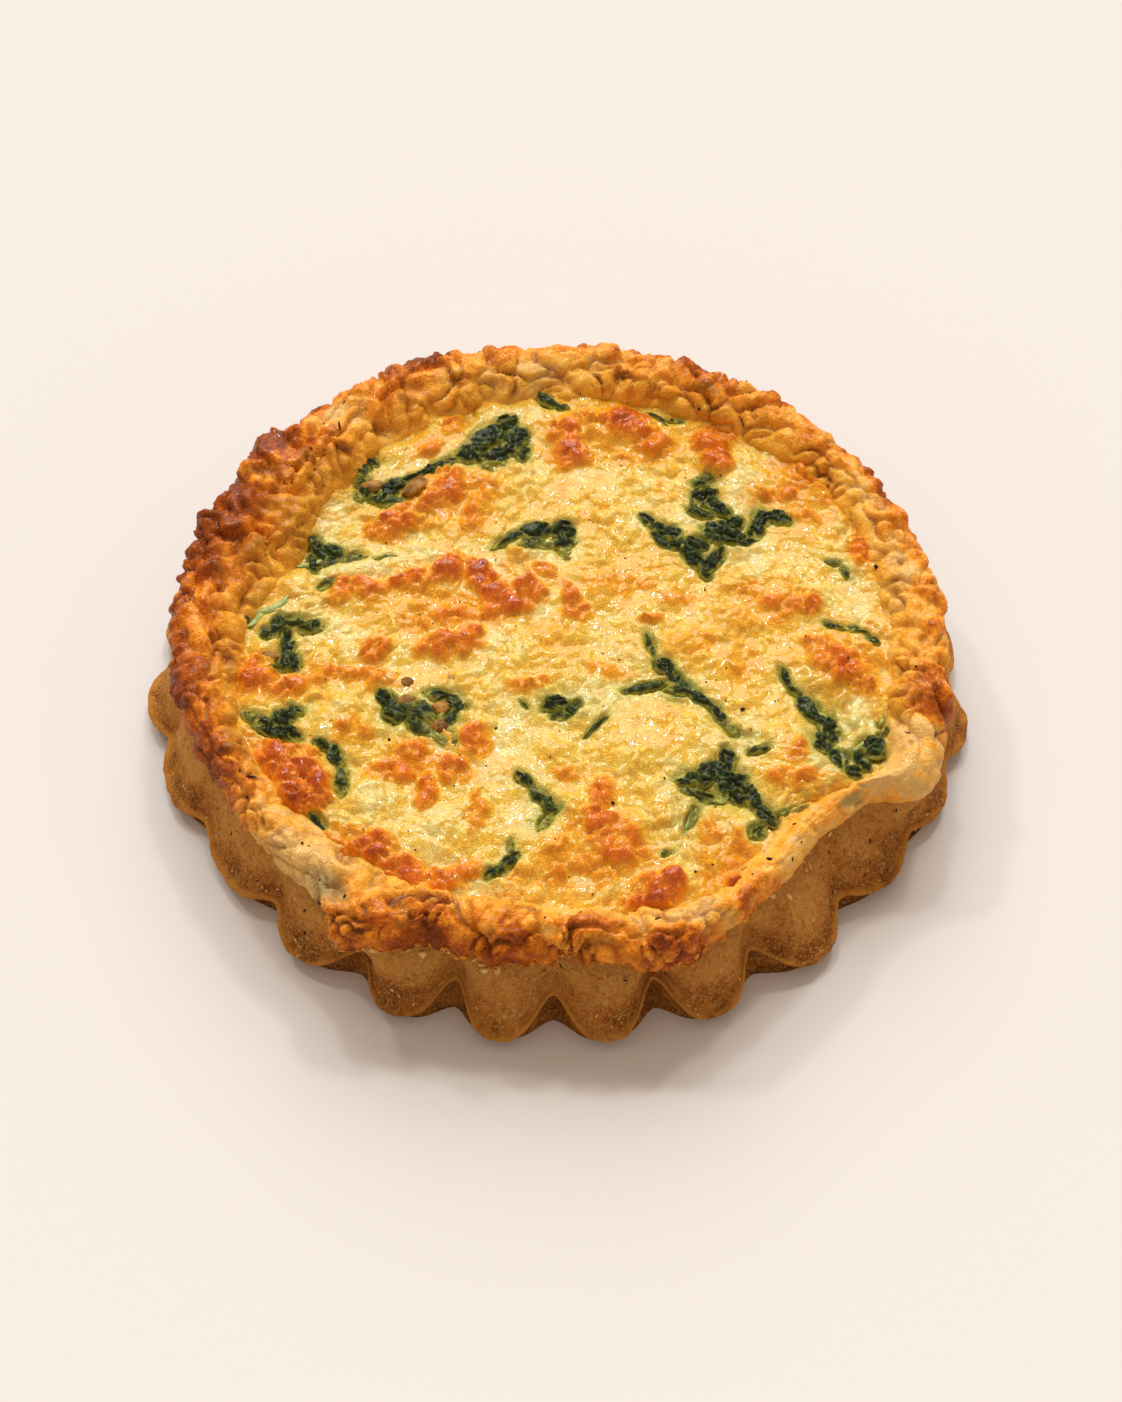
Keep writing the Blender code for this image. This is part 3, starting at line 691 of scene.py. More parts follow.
def hand_over(
    piece: bpy.types.Object, material: bpy.types.Material, nodes: tuple[str, ...]
) -> None:
    """Dresses a finished piece and tells the frame where it belongs.

    Args:
        piece: The finished object.
        material: Its only material.
        nodes: CAD nodes that the piece stands for.
    """
    piece.data.materials.append(material)
    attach(piece, BODY)
    if nodes:
        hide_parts(*nodes)
    log.info("%s: %d faces", piece.name, len(piece.data.polygons))


def grid_shape(columns: int, rows: int) -> tuple[bmesh.types.BMesh, Array, Array]:
    """Flat grid with each vertex's column and row.

    Args:
        columns: Faces along X.
        rows: Faces along Y.

    Returns:
        The grid, and the column and row of each vertex in the grid's own order.
    """
    shape = bmesh.new()
    bmesh.ops.create_grid(shape, x_segments=columns, y_segments=rows, size=0.5)
    spots = np.array([vert.co[:2] for vert in shape.verts])
    column = np.rint((spots[:, 0] + 0.5) * columns).astype(int)
    row = np.rint((spots[:, 1] + 0.5) * rows).astype(int)
    return shape, column, row


def place_verts(shape: bmesh.types.BMesh, spots: Array) -> None:
    """Moves each vertex to its spot, given in millimetres."""
    for vert, spot in zip(shape.verts, (spots * MM).tolist()):
        vert.co = spot


def paint(shape: bmesh.types.BMesh, name: str, values: Array) -> None:
    """Keeps a number a vertex under a name that the material reads."""
    layer = shape.verts.layers.float.new(name)
    for vert, value in zip(shape.verts, values.tolist()):
        vert[layer] = value


def catmull(keys: Array, rows: tuple[int, ...]) -> Array:
    """Smooth line through key points.

    Args:
        keys: Key points, shaped keys by columns by numbers.
        rows: How many steps each stretch between keys takes.

    Returns:
        Points along the line, shaped steps plus one by columns by numbers.
    """
    padded = np.concatenate([keys[:1], keys, keys[-1:]])
    found = []
    for index, steps in enumerate(rows):
        before, start, end, after = padded[index : index + 4]
        for part in np.arange(steps) / steps:
            bend = part * part * part
            flat = part * part
            found.append(0.5 * (
                2.0 * start + (end - before) * part + (2 * before - 5 * start + 4 * end - after) * flat
                + (3 * start - before - 3 * end + after) * bend
            ))  # fmt: skip
    found.append(keys[-1])
    return np.stack(found)


def surface_normals(points: Array) -> Array:
    """Unit normals of a grid of points, rows by columns by 3, whose columns close into a ring."""
    along = np.gradient(points, axis=0)
    around = np.roll(points, -1, axis=1) - np.roll(points, 1, axis=1)
    normal = np.cross(around, along)
    return normal / np.maximum(np.linalg.norm(normal, axis=-1, keepdims=True), 1e-9)


# ---------------------------------------------------------------- finishes


class Coordinates(Enum):
    """What a pattern is laid out on."""

    OBJECT = "Object"


@dataclass
class Paintwork:
    """Small helper that wires one material's nodes."""

    name: str
    tree: bpy.types.NodeTree = field(init=False)
    material: bpy.types.Material = field(init=False)
    shader: bpy.types.Node = field(init=False)

    def __post_init__(self) -> None:
        """Makes the material with its Principled shader."""
        self.material = bpy.data.materials.new(self.name)
        self.material.use_nodes = True
        self.tree = self.material.node_tree
        self.shader = self.tree.nodes["Principled BSDF"]

    def node(self, kind: str, **settings: object) -> bpy.types.Node:
        """New node with some of its settings."""
        made = self.tree.nodes.new(kind)
        for key, value in settings.items():
            setattr(made, key, value)
        return made

    def feed(self, socket: bpy.types.NodeSocket, value: object) -> None:
        """Links a socket's source, or sets a constant.

        Args:
            socket: The input to fill.
            value: An output to link, a number or a colour.
        """
        if isinstance(value, bpy.types.NodeSocket):
            self.tree.links.new(value, socket)
        elif isinstance(value, tuple) and len(value) == 3 and socket.type == "RGBA":
            socket.default_value = (*value, 1.0)
        else:
            socket.default_value = value

    def mask(self, name: str) -> bpy.types.NodeSocket:
        """The number that paint() kept under this name."""
        return self.node("ShaderNodeAttribute", attribute_name=name).outputs["Fac"]

    def place(self) -> bpy.types.NodeSocket:
        """The piece's own coordinates in metres."""
        return self.node("ShaderNodeTexCoord").outputs[Coordinates.OBJECT.value]

    def mix(self, first: object, second: object, share: object) -> bpy.types.NodeSocket:
        """Colour between two others.

        Args:
            first: Colour or its source.
            second: Colour or its source.
            share: 0 for the first and 1 for the second.

        Returns:
            Source of the colour.
        """
        made = self.node("ShaderNodeMix", data_type="RGBA")
        self.feed(made.inputs[0], share)
        self.feed(made.inputs[6], first)
        self.feed(made.inputs[7], second)
        return made.outputs[2]

    def sums(
        self, operation: str, first: object, second: object = 0.0, clamp: bool = False
    ) -> bpy.types.NodeSocket:
        """Arithmetic on two numbers.

        Args:
            operation: The sum to do.
            first: Number or its source.
            second: Number or its source.
            clamp: Whether the result is held from 0 to 1.

        Returns:
            Source of the result.
        """
        made = self.node("ShaderNodeMath", operation=operation, use_clamp=clamp)
        self.feed(made.inputs[0], first)
        self.feed(made.inputs[1], second)
        return made.outputs[0]

    def spread(
        self, value: object, low: float, high: float, start: float = 0.0, end: float = 1.0
    ) -> bpy.types.NodeSocket:
        """Maps low..high to start..end, with the ends held.

        Args:
            value: Number or its source.
            low: Where the result is start.
            high: Where the result is end.
            start: First result.
            end: Last result.

        Returns:
            Source of the result.
        """
        made = self.node("ShaderNodeMapRange", clamp=True)
        for socket, number in zip(made.inputs, (value, low, high, start, end)):
            self.feed(socket, number)
        return made.outputs[0]

    def group(self, tree: bpy.types.NodeTree, **values: object) -> bpy.types.Node:
        """Places a shared effect with its own values."""
        made = self.node("ShaderNodeGroup", node_tree=tree)
        for key, value in values.items():
            self.feed(made.inputs[key.replace("_", " ")], value)
        return made

    def bump(self, height: bpy.types.NodeSocket, strength: float, distance: float) -> None:
        """Fine relief on the shader's normal.

        Args:
            height: Source of the relief.
            strength: Its share, 0 to 1.
            distance: Its depth in metres.
        """
        made = self.node("ShaderNodeBump")
        made.inputs["Strength"].default_value = strength
        made.inputs["Distance"].default_value = distance
        self.feed(made.inputs["Height"], height)
        self.feed(self.shader.inputs["Normal"], made.outputs["Normal"])

    def constants(self, **values: object) -> None:
        """Sets plain numbers and colours on the shader's own sockets."""
        for key, value in values.items():
            self.feed(self.shader.inputs[key.replace("_", " ")], value)


def falling(
    tree: bpy.types.NodeTree, value: bpy.types.NodeSocket, low: float, high: float
) -> bpy.types.NodeSocket:
    """Step in a node group that falls from 1 to 0.

    Args:
        tree: The node group.
        value: What is stepped.
        low: Where the result is 1.
        high: Where it reaches 0.

    Returns:
        Source of the result.
    """
    step = tree.nodes.new("ShaderNodeMapRange")
    for socket, number in zip(step.inputs[1:5], (low, high, 1.0, 0.0)):
        socket.default_value = number
    tree.links.new(value, step.inputs[0])
    return step.outputs[0]


def mottle_group() -> bpy.types.NodeTree:
    """Shared effect of baked food: soft blotches, tight grain, pin specks and curling streaks.

    Returns:
        Node group with inputs Place, Blotch Scale, Grain Scale and Speck Scale, which also sets the
        streaks, and outputs Blotch, Grain, Specks and Streaks.
    """
    tree = bpy.data.node_groups.new("baked mottle", "ShaderNodeTree")
    faces = tree.interface
    faces.new_socket("Place", in_out="INPUT", socket_type="NodeSocketVector")
    for name, value in (("Blotch Scale", 300.0), ("Grain Scale", 2000.0), ("Speck Scale", 420.0)):
        faces.new_socket(name, in_out="INPUT", socket_type="NodeSocketFloat").default_value = value
    for name in ("Blotch", "Grain", "Specks", "Streaks"):
        faces.new_socket(name, in_out="OUTPUT", socket_type="NodeSocketFloat")
    nodes, links = tree.nodes, tree.links
    entry = nodes.new("NodeGroupInput")
    leave = nodes.new("NodeGroupOutput")
    for scale, output, detail in (("Blotch Scale", "Blotch", 4.0), ("Grain Scale", "Grain", 6.0)):
        noise = nodes.new("ShaderNodeTexNoise")
        noise.inputs["Detail"].default_value = detail
        noise.inputs["Roughness"].default_value = 0.62
        links.new(entry.outputs["Place"], noise.inputs["Vector"])
        links.new(entry.outputs[scale], noise.inputs["Scale"])
        links.new(noise.outputs["Fac"], leave.inputs[output])
    specks = nodes.new("ShaderNodeTexVoronoi")
    links.new(entry.outputs["Place"], specks.inputs["Vector"])
    links.new(entry.outputs["Speck Scale"], specks.inputs["Scale"])
    links.new(falling(tree, specks.outputs["Distance"], 0.05, 0.16), leave.inputs["Specks"])
    warp = nodes.new("ShaderNodeTexNoise")
    warp.inputs["Distortion"].default_value = 2.4
    warp.inputs["Detail"].default_value = 3.0
    links.new(entry.outputs["Place"], warp.inputs["Vector"])
    links.new(entry.outputs["Speck Scale"], warp.inputs["Scale"])
    middle = nodes.new("ShaderNodeMath")
    middle.operation = "SUBTRACT"
    middle.inputs[1].default_value = 0.5
    links.new(warp.outputs["Fac"], middle.inputs[0])
    folded = nodes.new("ShaderNodeMath")
    folded.operation = "ABSOLUTE"
    links.new(middle.outputs[0], folded.inputs[0])
    links.new(falling(tree, folded.outputs[0], 0.0, 0.11), leave.inputs["Streaks"])
    return tree


MOTTLE = mottle_group()


@dataclass(frozen=True)
class CustardFinish:
    """Baked egg and cheese: yellow to golden, orange to red-brown where toasted, green by the leaves, painted
    shade in the creases between curds.
    """

    cream: Colour = (0.96, 0.77, 0.27)
    pale_green: Colour = (0.68, 0.60, 0.14)
    yellow: Colour = (0.96, 0.60, 0.075)
    golden: Colour = (1.0, 0.43, 0.018)
    orange: Colour = (0.98, 0.26, 0.007)
    brown: Colour = (0.62, 0.10, 0.003)
    char: Colour = (0.2, 0.02, 0.003)
    green: Colour = (0.33, 0.33, 0.045)
    deep_green: Colour = (0.08, 0.10, 0.015)

    def material(self) -> bpy.types.Material:
        """Builds the material.

        Returns:
            The custard's material.
        """
        work = Paintwork("baked custard")
        place = work.place()
        mottle = work.group(MOTTLE, Place=place, Blotch_Scale=330.0, Grain_Scale=1500.0, Speck_Scale=620.0)
        blotch = work.spread(mottle.outputs["Blotch"], 0.3, 0.7, -0.22, 0.22)
        gold = work.sums("ADD", work.mask("gold"), blotch, clamp=True)
        ground = work.mix(self.cream, self.yellow, work.spread(gold, 0.05, 0.45))
        ground = work.mix(ground, self.golden, work.spread(gold, 0.5, 1.0, 0.0, 0.7))
        ground = work.mix(ground, self.pale_green, work.spread(work.mask("green"), 0.05, 0.5, 0.0, 0.8))
        ground = work.mix(ground, self.green, work.spread(work.mask("green"), 0.5, 0.85))
        toast = work.sums("ADD", work.mask("toast"), work.sums("MULTIPLY", blotch, 0.5))
        ground = work.mix(ground, self.golden, work.spread(toast, 0.08, 0.34))
        ground = work.mix(ground, self.orange, work.spread(toast, 0.34, 0.72))
        ground = work.mix(ground, self.brown, work.spread(toast, 0.74, 1.05))
        ground = work.mix(ground, self.char, work.spread(toast, 1.05, 1.3, 0.0, 0.8))
        # Painted shade: the creases between curds are darkened towards golden and brown.
        curd_crease_shade = work.sums("MULTIPLY", work.mask("curd_crease_shade"), 0.3)
        ground = work.mix(ground, work.mix(self.golden, self.brown, work.spread(toast, 0.3, 0.8)), curd_crease_shade)
        ground = work.mix(ground, self.deep_green, work.spread(work.mask("green"), 0.8, 1.0, 0.0, 0.7))
        work.feed(work.shader.inputs["Base Color"], ground)
        rough = work.spread(mottle.outputs["Grain"], 0.3, 0.7, 0.22, 0.36)
        work.feed(work.shader.inputs["Roughness"], rough)
        height = work.sums("MULTIPLY", mottle.outputs["Grain"], 0.12)
        height = work.sums("ADD", height, mottle.outputs["Streaks"])
        height = work.sums("ADD", height, work.sums("MULTIPLY", mottle.outputs["Blotch"], 1.4))
        work.bump(height, 0.7, 0.00045)
        work.constants(Subsurface_Weight=0.2, Subsurface_Scale=1.0)
        work.constants(Subsurface_Radius=(0.0016, 0.0008, 0.0003))
        work.constants(Coat_Weight=0.55, Coat_Roughness=0.06, IOR=1.45, Specular_IOR_Level=0.08)
        return work.material


@dataclass(frozen=True)
class PastryFinish:
    """Short pastry: tan walls, pale dough, golden to dark brown rim, with painted shade in the rim's creases,
    in the groove above the lip and under the lip.
    """

    wall: Colour = (0.55, 0.23, 0.042)
    wall_dark: Colour = (0.39, 0.11, 0.008)
    wall_deep: Colour = (0.17, 0.034, 0.001)
    dough: Colour = (0.83, 0.49, 0.15)
    golden: Colour = (0.99, 0.46, 0.06)
    tan: Colour = (0.90, 0.28, 0.015)
    brown: Colour = (0.47, 0.095, 0.004)
    dark: Colour = (0.13, 0.022, 0.002)
    lip: Colour = (0.58, 0.23, 0.035)
    cheese: Colour = (0.92, 0.46, 0.045)
    pocket: Colour = (0.34, 0.27, 0.10)

    def rim(self, work: Paintwork, toast: bpy.types.NodeSocket) -> bpy.types.NodeSocket:
        """Colour of the rim, with the cheese that has run over it.

        Args:
            work: The material.
            toast: How browned the rim is.

        Returns:
            Source of the colour.
        """
        rim = work.mix(self.dough, self.golden, work.spread(toast, 0.1, 0.36))
        rim = work.mix(rim, self.tan, work.spread(toast, 0.36, 0.66))
        rim = work.mix(rim, self.brown, work.spread(toast, 0.66, 0.98))
        rim = work.mix(rim, self.dark, work.spread(toast, 1.02, 1.3, 0.0, 0.8))
        return work.mix(rim, self.cheese, work.mask("cheese"))

    def skirt(
        self,
        work: Paintwork,
        shade: bpy.types.NodeSocket,
        floury: bpy.types.NodeSocket,
        drawn: bpy.types.NodeSocket,
        sunk: bpy.types.NodeSocket,
    ) -> bpy.types.NodeSocket:
        """Colour of the wall and the petals, streaked where the dough was pressed.

        Args:
            work: The material.
            shade: How dark the wall is: its own tone and toasting, with painted shade in the groove above the
                lip and under the lip.
            floury: Grain that shows as pale flour.
            drawn: Pale streaks.
            sunk: Dark streaks.

        Returns:
            Source of the colour.
        """
        wall = work.mix(self.wall, self.wall_dark, work.spread(shade, 0.1, 0.7))
        wall = work.mix(wall, self.wall_deep, work.spread(shade, 0.72, 1.0, 0.0, 0.85))
        wall = work.mix(wall, self.dough, work.sums("MULTIPLY", work.spread(floury, 0.52, 0.68), 0.6))
        wall = work.mix(wall, self.dough, work.sums("MULTIPLY", drawn, 0.6))
        wall = work.mix(wall, self.wall_deep, work.sums("MULTIPLY", sunk, 0.6))
        return work.mix(wall, self.lip, work.mask("lip"))

    def material(self) -> bpy.types.Material:
        """Builds the material.

        Returns:
            The crust's material.
        """
        work = Paintwork("baked pastry")
        place = work.place()
        mottle = work.group(MOTTLE, Place=place, Blotch_Scale=260.0, Grain_Scale=1500.0, Speck_Scale=480.0)
        fibre = work.group(MOTTLE, Place=place, Blotch_Scale=90.0, Grain_Scale=900.0, Speck_Scale=700.0)
        scrape = work.group(MOTTLE, Place=place, Blotch_Scale=120.0, Grain_Scale=2600.0, Speck_Scale=250.0)
        blotch = work.spread(mottle.outputs["Blotch"], 0.3, 0.7, -0.3, 0.3)
        grain = work.spread(mottle.outputs["Grain"], 0.3, 0.7, -0.2, 0.2)
        broken = work.spread(scrape.outputs["Grain"], 0.42, 0.6)
        drawn = work.sums("MULTIPLY", fibre.outputs["Streaks"], broken)
        broken = work.spread(fibre.outputs["Grain"], 0.5, 0.64)
        sunk = work.sums("MULTIPLY", scrape.outputs["Streaks"], broken)
        toast = work.sums("ADD", work.mask("toast"), work.sums("MULTIPLY", blotch, 0.7))
        rim = self.rim(work, work.sums("ADD", toast, grain))
        # The wall's darkness, painted shade in the groove and under the lip included.
        shade = work.sums("ADD", work.sums("ADD", work.mask("shade"), blotch), grain, clamp=True)
        wall = self.skirt(work, shade, mottle.outputs["Grain"], drawn, sunk)
        on_skirt = work.mask("skirt")
        ground = work.mix(rim, wall, on_skirt)
        ground = work.mix(ground, self.pocket, work.mask("stain"))
        # Painted shade: the creases between the rim's lumps are darkened to brown and near black.
        crease_shade = work.mask("crease_shade")
        ground = work.mix(ground, work.mix(self.brown, self.dark, crease_shade), crease_shade)
        specks = work.spread(mottle.outputs["Blotch"], 0.5, 0.66)
        specks = work.sums("MULTIPLY", mottle.outputs["Specks"], specks)
        ground = work.mix(ground, self.dark, work.sums("MULTIPLY", specks, 0.5))
        work.feed(work.shader.inputs["Base Color"], ground)
        work.feed(work.shader.inputs["Roughness"], work.spread(on_skirt, 0.0, 1.0, 0.34, 0.7))
        work.feed(work.shader.inputs["Coat Weight"], work.spread(on_skirt, 0.0, 1.0, 0.2, 0.0))
        height = work.sums("MULTIPLY", mottle.outputs["Grain"], work.spread(on_skirt, 0.0, 1.0, 0.3, 1.0))
        height = work.sums("ADD", height, work.sums("MULTIPLY", mottle.outputs["Streaks"], 0.6))
        height = work.sums("ADD", height, work.sums("MULTIPLY", mottle.outputs["Blotch"], 1.2))
        scored = work.sums("MULTIPLY", drawn, work.spread(on_skirt, 0.0, 1.0, 0.0, 0.7))
        work.bump(work.sums("SUBTRACT", height, scored), 0.65, 0.0004)
        work.constants(Subsurface_Weight=0.1, Subsurface_Scale=1.0)
        work.constants(Subsurface_Radius=(0.0012, 0.0006, 0.0003))
        work.constants(Coat_Roughness=0.1, IOR=1.45, Specular_IOR_Level=0.05)
        return work.material


@dataclass(frozen=True)
class LeafFinish:
    """Cooked spinach: near-black green folds of painted shade, lighter crests that are partly pale veins and
    partly painted highlight, a wet gloss and a film of custard low down.
    """

    # Painted shade in the folds; the crest colour is partly pale veins and partly painted highlight.
    fold_shade: Colour = (0.006, 0.010, 0.001)
    leaf: Colour = (0.026, 0.040, 0.005)
    crest: Colour = (0.13, 0.165, 0.028)
    film: Colour = (0.46, 0.42, 0.065)

    def material(self) -> bpy.types.Material:
        """Builds the material.

        Returns:
            The leaves' material.
        """
        work = Paintwork("cooked spinach")
        place = work.place()
        mottle = work.group(MOTTLE, Place=place, Blotch_Scale=420.0, Grain_Scale=1800.0, Speck_Scale=800.0)
        fold = work.sums("ADD", work.mask("fold"), work.spread(mottle.outputs["Blotch"], 0.3, 0.7, -0.3, 0.3))
        # Painted shade in the low folds, and lighter crests that are partly painted highlight and partly pale
        # veins.
        ground = work.mix(self.fold_shade, self.leaf, work.spread(fold, 0.05, 0.5))
        ground = work.mix(ground, self.crest, work.spread(fold, 0.62, 1.1, 0.0, 0.85))
        ground = work.mix(ground, self.film, work.mask("film"))
        work.feed(work.shader.inputs["Base Color"], ground)
        work.feed(work.shader.inputs["Roughness"], work.spread(mottle.outputs["Grain"], 0.3, 0.7, 0.2, 0.42))
        height = work.sums("ADD", mottle.outputs["Grain"], mottle.outputs["Streaks"])
        work.bump(height, 0.6, 0.0003)
        work.constants(Coat_Weight=0.3, Coat_Roughness=0.07, Specular_IOR_Level=0.06)
        return work.material


@dataclass(frozen=True)
class BitFinish:
    """One kind of small scattered bit, with blotches between two colours."""

    name: str
    light: Colour
    dark: Colour
    roughness: float

    def material(self) -> bpy.types.Material:
        """Builds the material.

        Returns:
            The bits' material.
        """
        work = Paintwork(self.name)
        place = work.place()
        mottle = work.group(MOTTLE, Place=place, Blotch_Scale=600.0, Grain_Scale=2400.0, Speck_Scale=900.0)
        share = work.spread(mottle.outputs["Blotch"], 0.38, 0.62)
        work.feed(work.shader.inputs["Base Color"], work.mix(self.dark, self.light, share))
        work.bump(mottle.outputs["Grain"], 0.5, 0.0002)
        work.constants(Roughness=self.roughness, Specular_IOR_Level=0.15)
        return work.material


# ---------------------------------------------------------------- the crust


@dataclass
class Crust:
    """One-piece pastry case: flat base, fluted skirt with a rolled lip, wall and lumpy browned rim."""

    shape: QuicheShape = SHAPE
    grain: Grain = PASTRY_GRAIN
    per_flute: int = 40
    rows: tuple[int, ...] = (1, 1, 2, 3, 2, 2, 3, 3, 2, 3, 4, 4, 4, 8, 9, 8, 8, 8, 8, 4, 2, 1)
    lump_size: float = 6.8
    lump: Ring = Ring((
        (0, 0.85), (40, 0.8), (66, 1.15), (95, 0.9), (115, 1.2), (146, 1.6), (170, 1.1), (205, 0.8),
        (228, 0.5), (240, 0.9), (262, 1.05), (288, 0.95), (300, 0.4), (318, 0.25), (332, 0.25), (345, 0.8),
    ))  # fmt: skip
    fissured: Ring = Ring((
        (0, 0.3), (60, 0.3), (120, 0.3), (215, 0.2), (240, 0.5), (256, 1.0), (284, 1.0), (292, 0.4),
        (300, 0.0), (340, 0.0),
    ))  # fmt: skip
    slit: tuple[float, float] = (2.3, 5.0)
    slump: Ring = Ring(((0, 0.0), (300, 0.0), (322, 0.6), (331, 2.4), (340, 2.0), (350, 0.4)))
    rim_toast: Ring = Ring((
        (0, 0.46), (25, 0.54), (50, 0.56), (64, 0.82), (76, 0.52), (95, 0.5), (112, 0.72), (125, 0.62),
        (146, 0.95), (165, 0.86), (186, 0.86), (205, 0.82), (218, 0.58), (228, 0.2), (234, 0.2),
        (240, 0.6), (250, 0.68), (270, 0.62), (280, 0.52), (288, 0.6), (295, 0.42), (304, 0.34),
        (310, 0.5), (318, 0.36), (326, 0.3), (333, 0.1), (340, 0.2), (344, 0.7), (350, 0.46),
    ))  # fmt: skip

    def outline(self, angle: Array, share: Array, reach: Array) -> Array:
        """Key points of the crust's section, from the underside's middle out, up and back in.

        Args:
            angle: Each column's angle.
            share: Its place between two petal tips.
            reach: The nearer tip's radius.

        Returns:
            Radius and height, shaped keys by columns by 2.
        """
        wave = self.wave(share)
        edge = self.shape.rim_edge.at(angle)
        inner = self.shape.fill_edge.at(angle)
        crest = self.shape.crest_height + self.shape.crest_rise.at(angle)
        slump = self.slump.at(angle)
        lip = blend(self.shape.lip_valley.at(angle), reach, wave)
        level = blend(self.shape.lip_valley_height.at(angle), self.shape.lip_tip_height, wave)
        turn = np.radians(angle)
        round_way = np.stack([np.cos(turn), np.sin(turn), np.zeros_like(angle)], axis=-1) * 70.0
        level = level + 0.45 * self.grain.layered(round_way, 6.0, 3)
        lip = lip + 0.5 * self.grain.layered(round_way + 50.0, 4.0, 3) - 0.25
        base = blend(self.shape.base_valley.at(angle), reach - self.shape.base_tuck, wave)
        wall = self.shape.wall_height
        bulge = edge + 1.2
        width = bulge - inner
        drop = self.shape.fill_height
        nothing = np.zeros_like(angle)
        keys = (
            (nothing, nothing), (base * 0.6, nothing), (base - 1.0, nothing), (base, nothing + 0.25),
            (blend(lip - 2.2, base + 0.4, wave), level * 0.42), (lip - 0.7, level - 0.5),
            (lip - 0.05, level - 0.2), (lip - 0.08, level + 0.22), (lip - 0.7, level + 0.6),
            (lip - 1.4 - 0.25 * wave, level + 0.9 + 0.2 * wave),
            (blend(lip - 2.3, edge, 0.22), blend(level + 2.0, wall, 0.3)),
            (blend(lip - 2.1, edge, 0.7), blend(level + 2.1, wall, 0.7)),
            (edge - 1.1, nothing + wall), (bulge - 0.5, blend(wall, crest - slump, 0.16)),
            (bulge, blend(wall, crest - slump, 0.5)), (bulge - 0.09 * width, crest - 1.1 - slump),
            (inner + 0.7 * width, crest - 0.6 * slump), (inner + 0.45 * width, crest - 0.3),
            (inner + 0.2 * width, crest - 1.5), (inner - 0.3, drop + 0.2), (inner - 0.2, drop - 2.5),
            (nothing + 61.5, nothing + 4.5), (nothing, nothing + 4.0),
        )  # fmt: skip
        return np.stack([np.stack(np.broadcast_arrays(*key), axis=-1) for key in keys])

    def wave(self, share: Array) -> Array:
        """1 at a petal's tip and 0 between two petals, rounded at both."""
        swing = (0.5 + 0.5 * np.cos(2.0 * math.pi * share)) ** 0.55
        return 0.35 * swing + 0.65 * ramp(0.0, 1.0, swing)

    def billow(self, points: Array, size: float, layers: int) -> Array:
        """Rounded swellings of mixed sizes with sharp creases.

        Args:
            points: Points in millimetres.
            size: Width of the largest swellings.
            layers: How many sizes there are, each half the last.

        Returns:
            Array from 0 to about 1.
        """
        total = np.zeros(points.shape[:-1])
        for step in range(layers):
            swelling = np.abs(self.grain.smooth(points + 17.0 * step, size * 0.5**step))
            total = total + swelling * 0.55**step
        return np.clip(total * 1.25, 0.0, 1.3)

    def relief(self, points: Array, angle: Array, rim: Array) -> tuple[Array, Array, Array]:
        """How far the rim's lumps stand out.

        Args:
            points: The plain surface, rows by columns by 3.
            angle: Each column's angle.
            rim: 1 on the rim and 0 on the wall, by row and column.

        Returns:
            Distance along the normal, painted shade for the creases from 0 to 1, and lump height from 0 to 1.
        """
        big, crease, mark = self.grain.cobbles(points, self.lump_size, 0.8)
        mid, mid_crease, _ = self.grain.cobbles(points + 40.0, 2.7, 0.7)
        puff = self.billow(points, 6.0, 3)
        size = self.lump.at(angle)[None, :]
        tone = self.grain.layered(points + 11.0, 4.5, 3)
        patchy = ramp(-0.15, 0.45, self.grain.layered(points + 63.0, 9.0, 2))
        bend = np.stack([self.grain.smooth(points + 300.0 + 9.0 * axis, 2.2) for axis in range(3)], axis=-1)
        wrinkle = 1.0 - np.abs(self.grain.smooth(points + bend * 1.3 + 140.0, 1.7)) * 3.0
        reach = np.hypot(points[..., 0], points[..., 1])
        narrow, long = self.slit
        around = np.radians(angle)[None, :] * 68.0 / narrow + 0.0 * reach
        rolled = np.stack([around, reach / long, points[..., 2] / long], axis=-1)
        slit, slit_crease, _ = self.grain.cobbles(rolled + 0.4 * bend, 1.0, 0.35)
        past = reach - self.shape.rim_edge.at(angle)[None, :]
        outer = ramp(0.0, 3.0, past + 3.0) * self.fissured.at(angle)[None, :]
        swell = 2.1 * (big - 0.55) + 0.9 * (mark - 0.5)
        out = size * (swell - 0.9 * crease * (0.4 + 0.6 * patchy) + 0.7 * (puff - 0.4))
        out = out + (0.15 + 0.35 * size) * (mid - 0.5 - 0.4 * mid_crease) * (0.1 + 0.9 * patchy)
        out = out + 0.12 * np.clip(wrinkle, -0.6, 1.0) + 0.15 * tone
        outer = outer * patchy
        out = out + outer * (0.7 * (slit - 0.5) - 0.6 * slit_crease)
        # Painted shade for the creases between the rim's lumps and the near roll's fissures.
        crease_shade = crease * (0.6 + 0.4 * patchy) * ramp(-0.4, 0.2, tone) + 0.4 * mid_crease * patchy
        crease_shade = crease_shade * ramp(0.15, 0.95, size)
        crease_shade = np.clip(crease_shade + 0.8 * outer * slit_crease, 0.0, 1.0)
        wall = 0.25 * self.grain.layered(points, 9.0, 3) + 0.14 * self.grain.layered(points + 7.0, 1.8, 3)
        lump = np.clip(0.35 * big + 0.45 * puff + 0.5 * mark, 0.0, 1.2)
        return blend(wall, out, rim), crease_shade * rim, lump

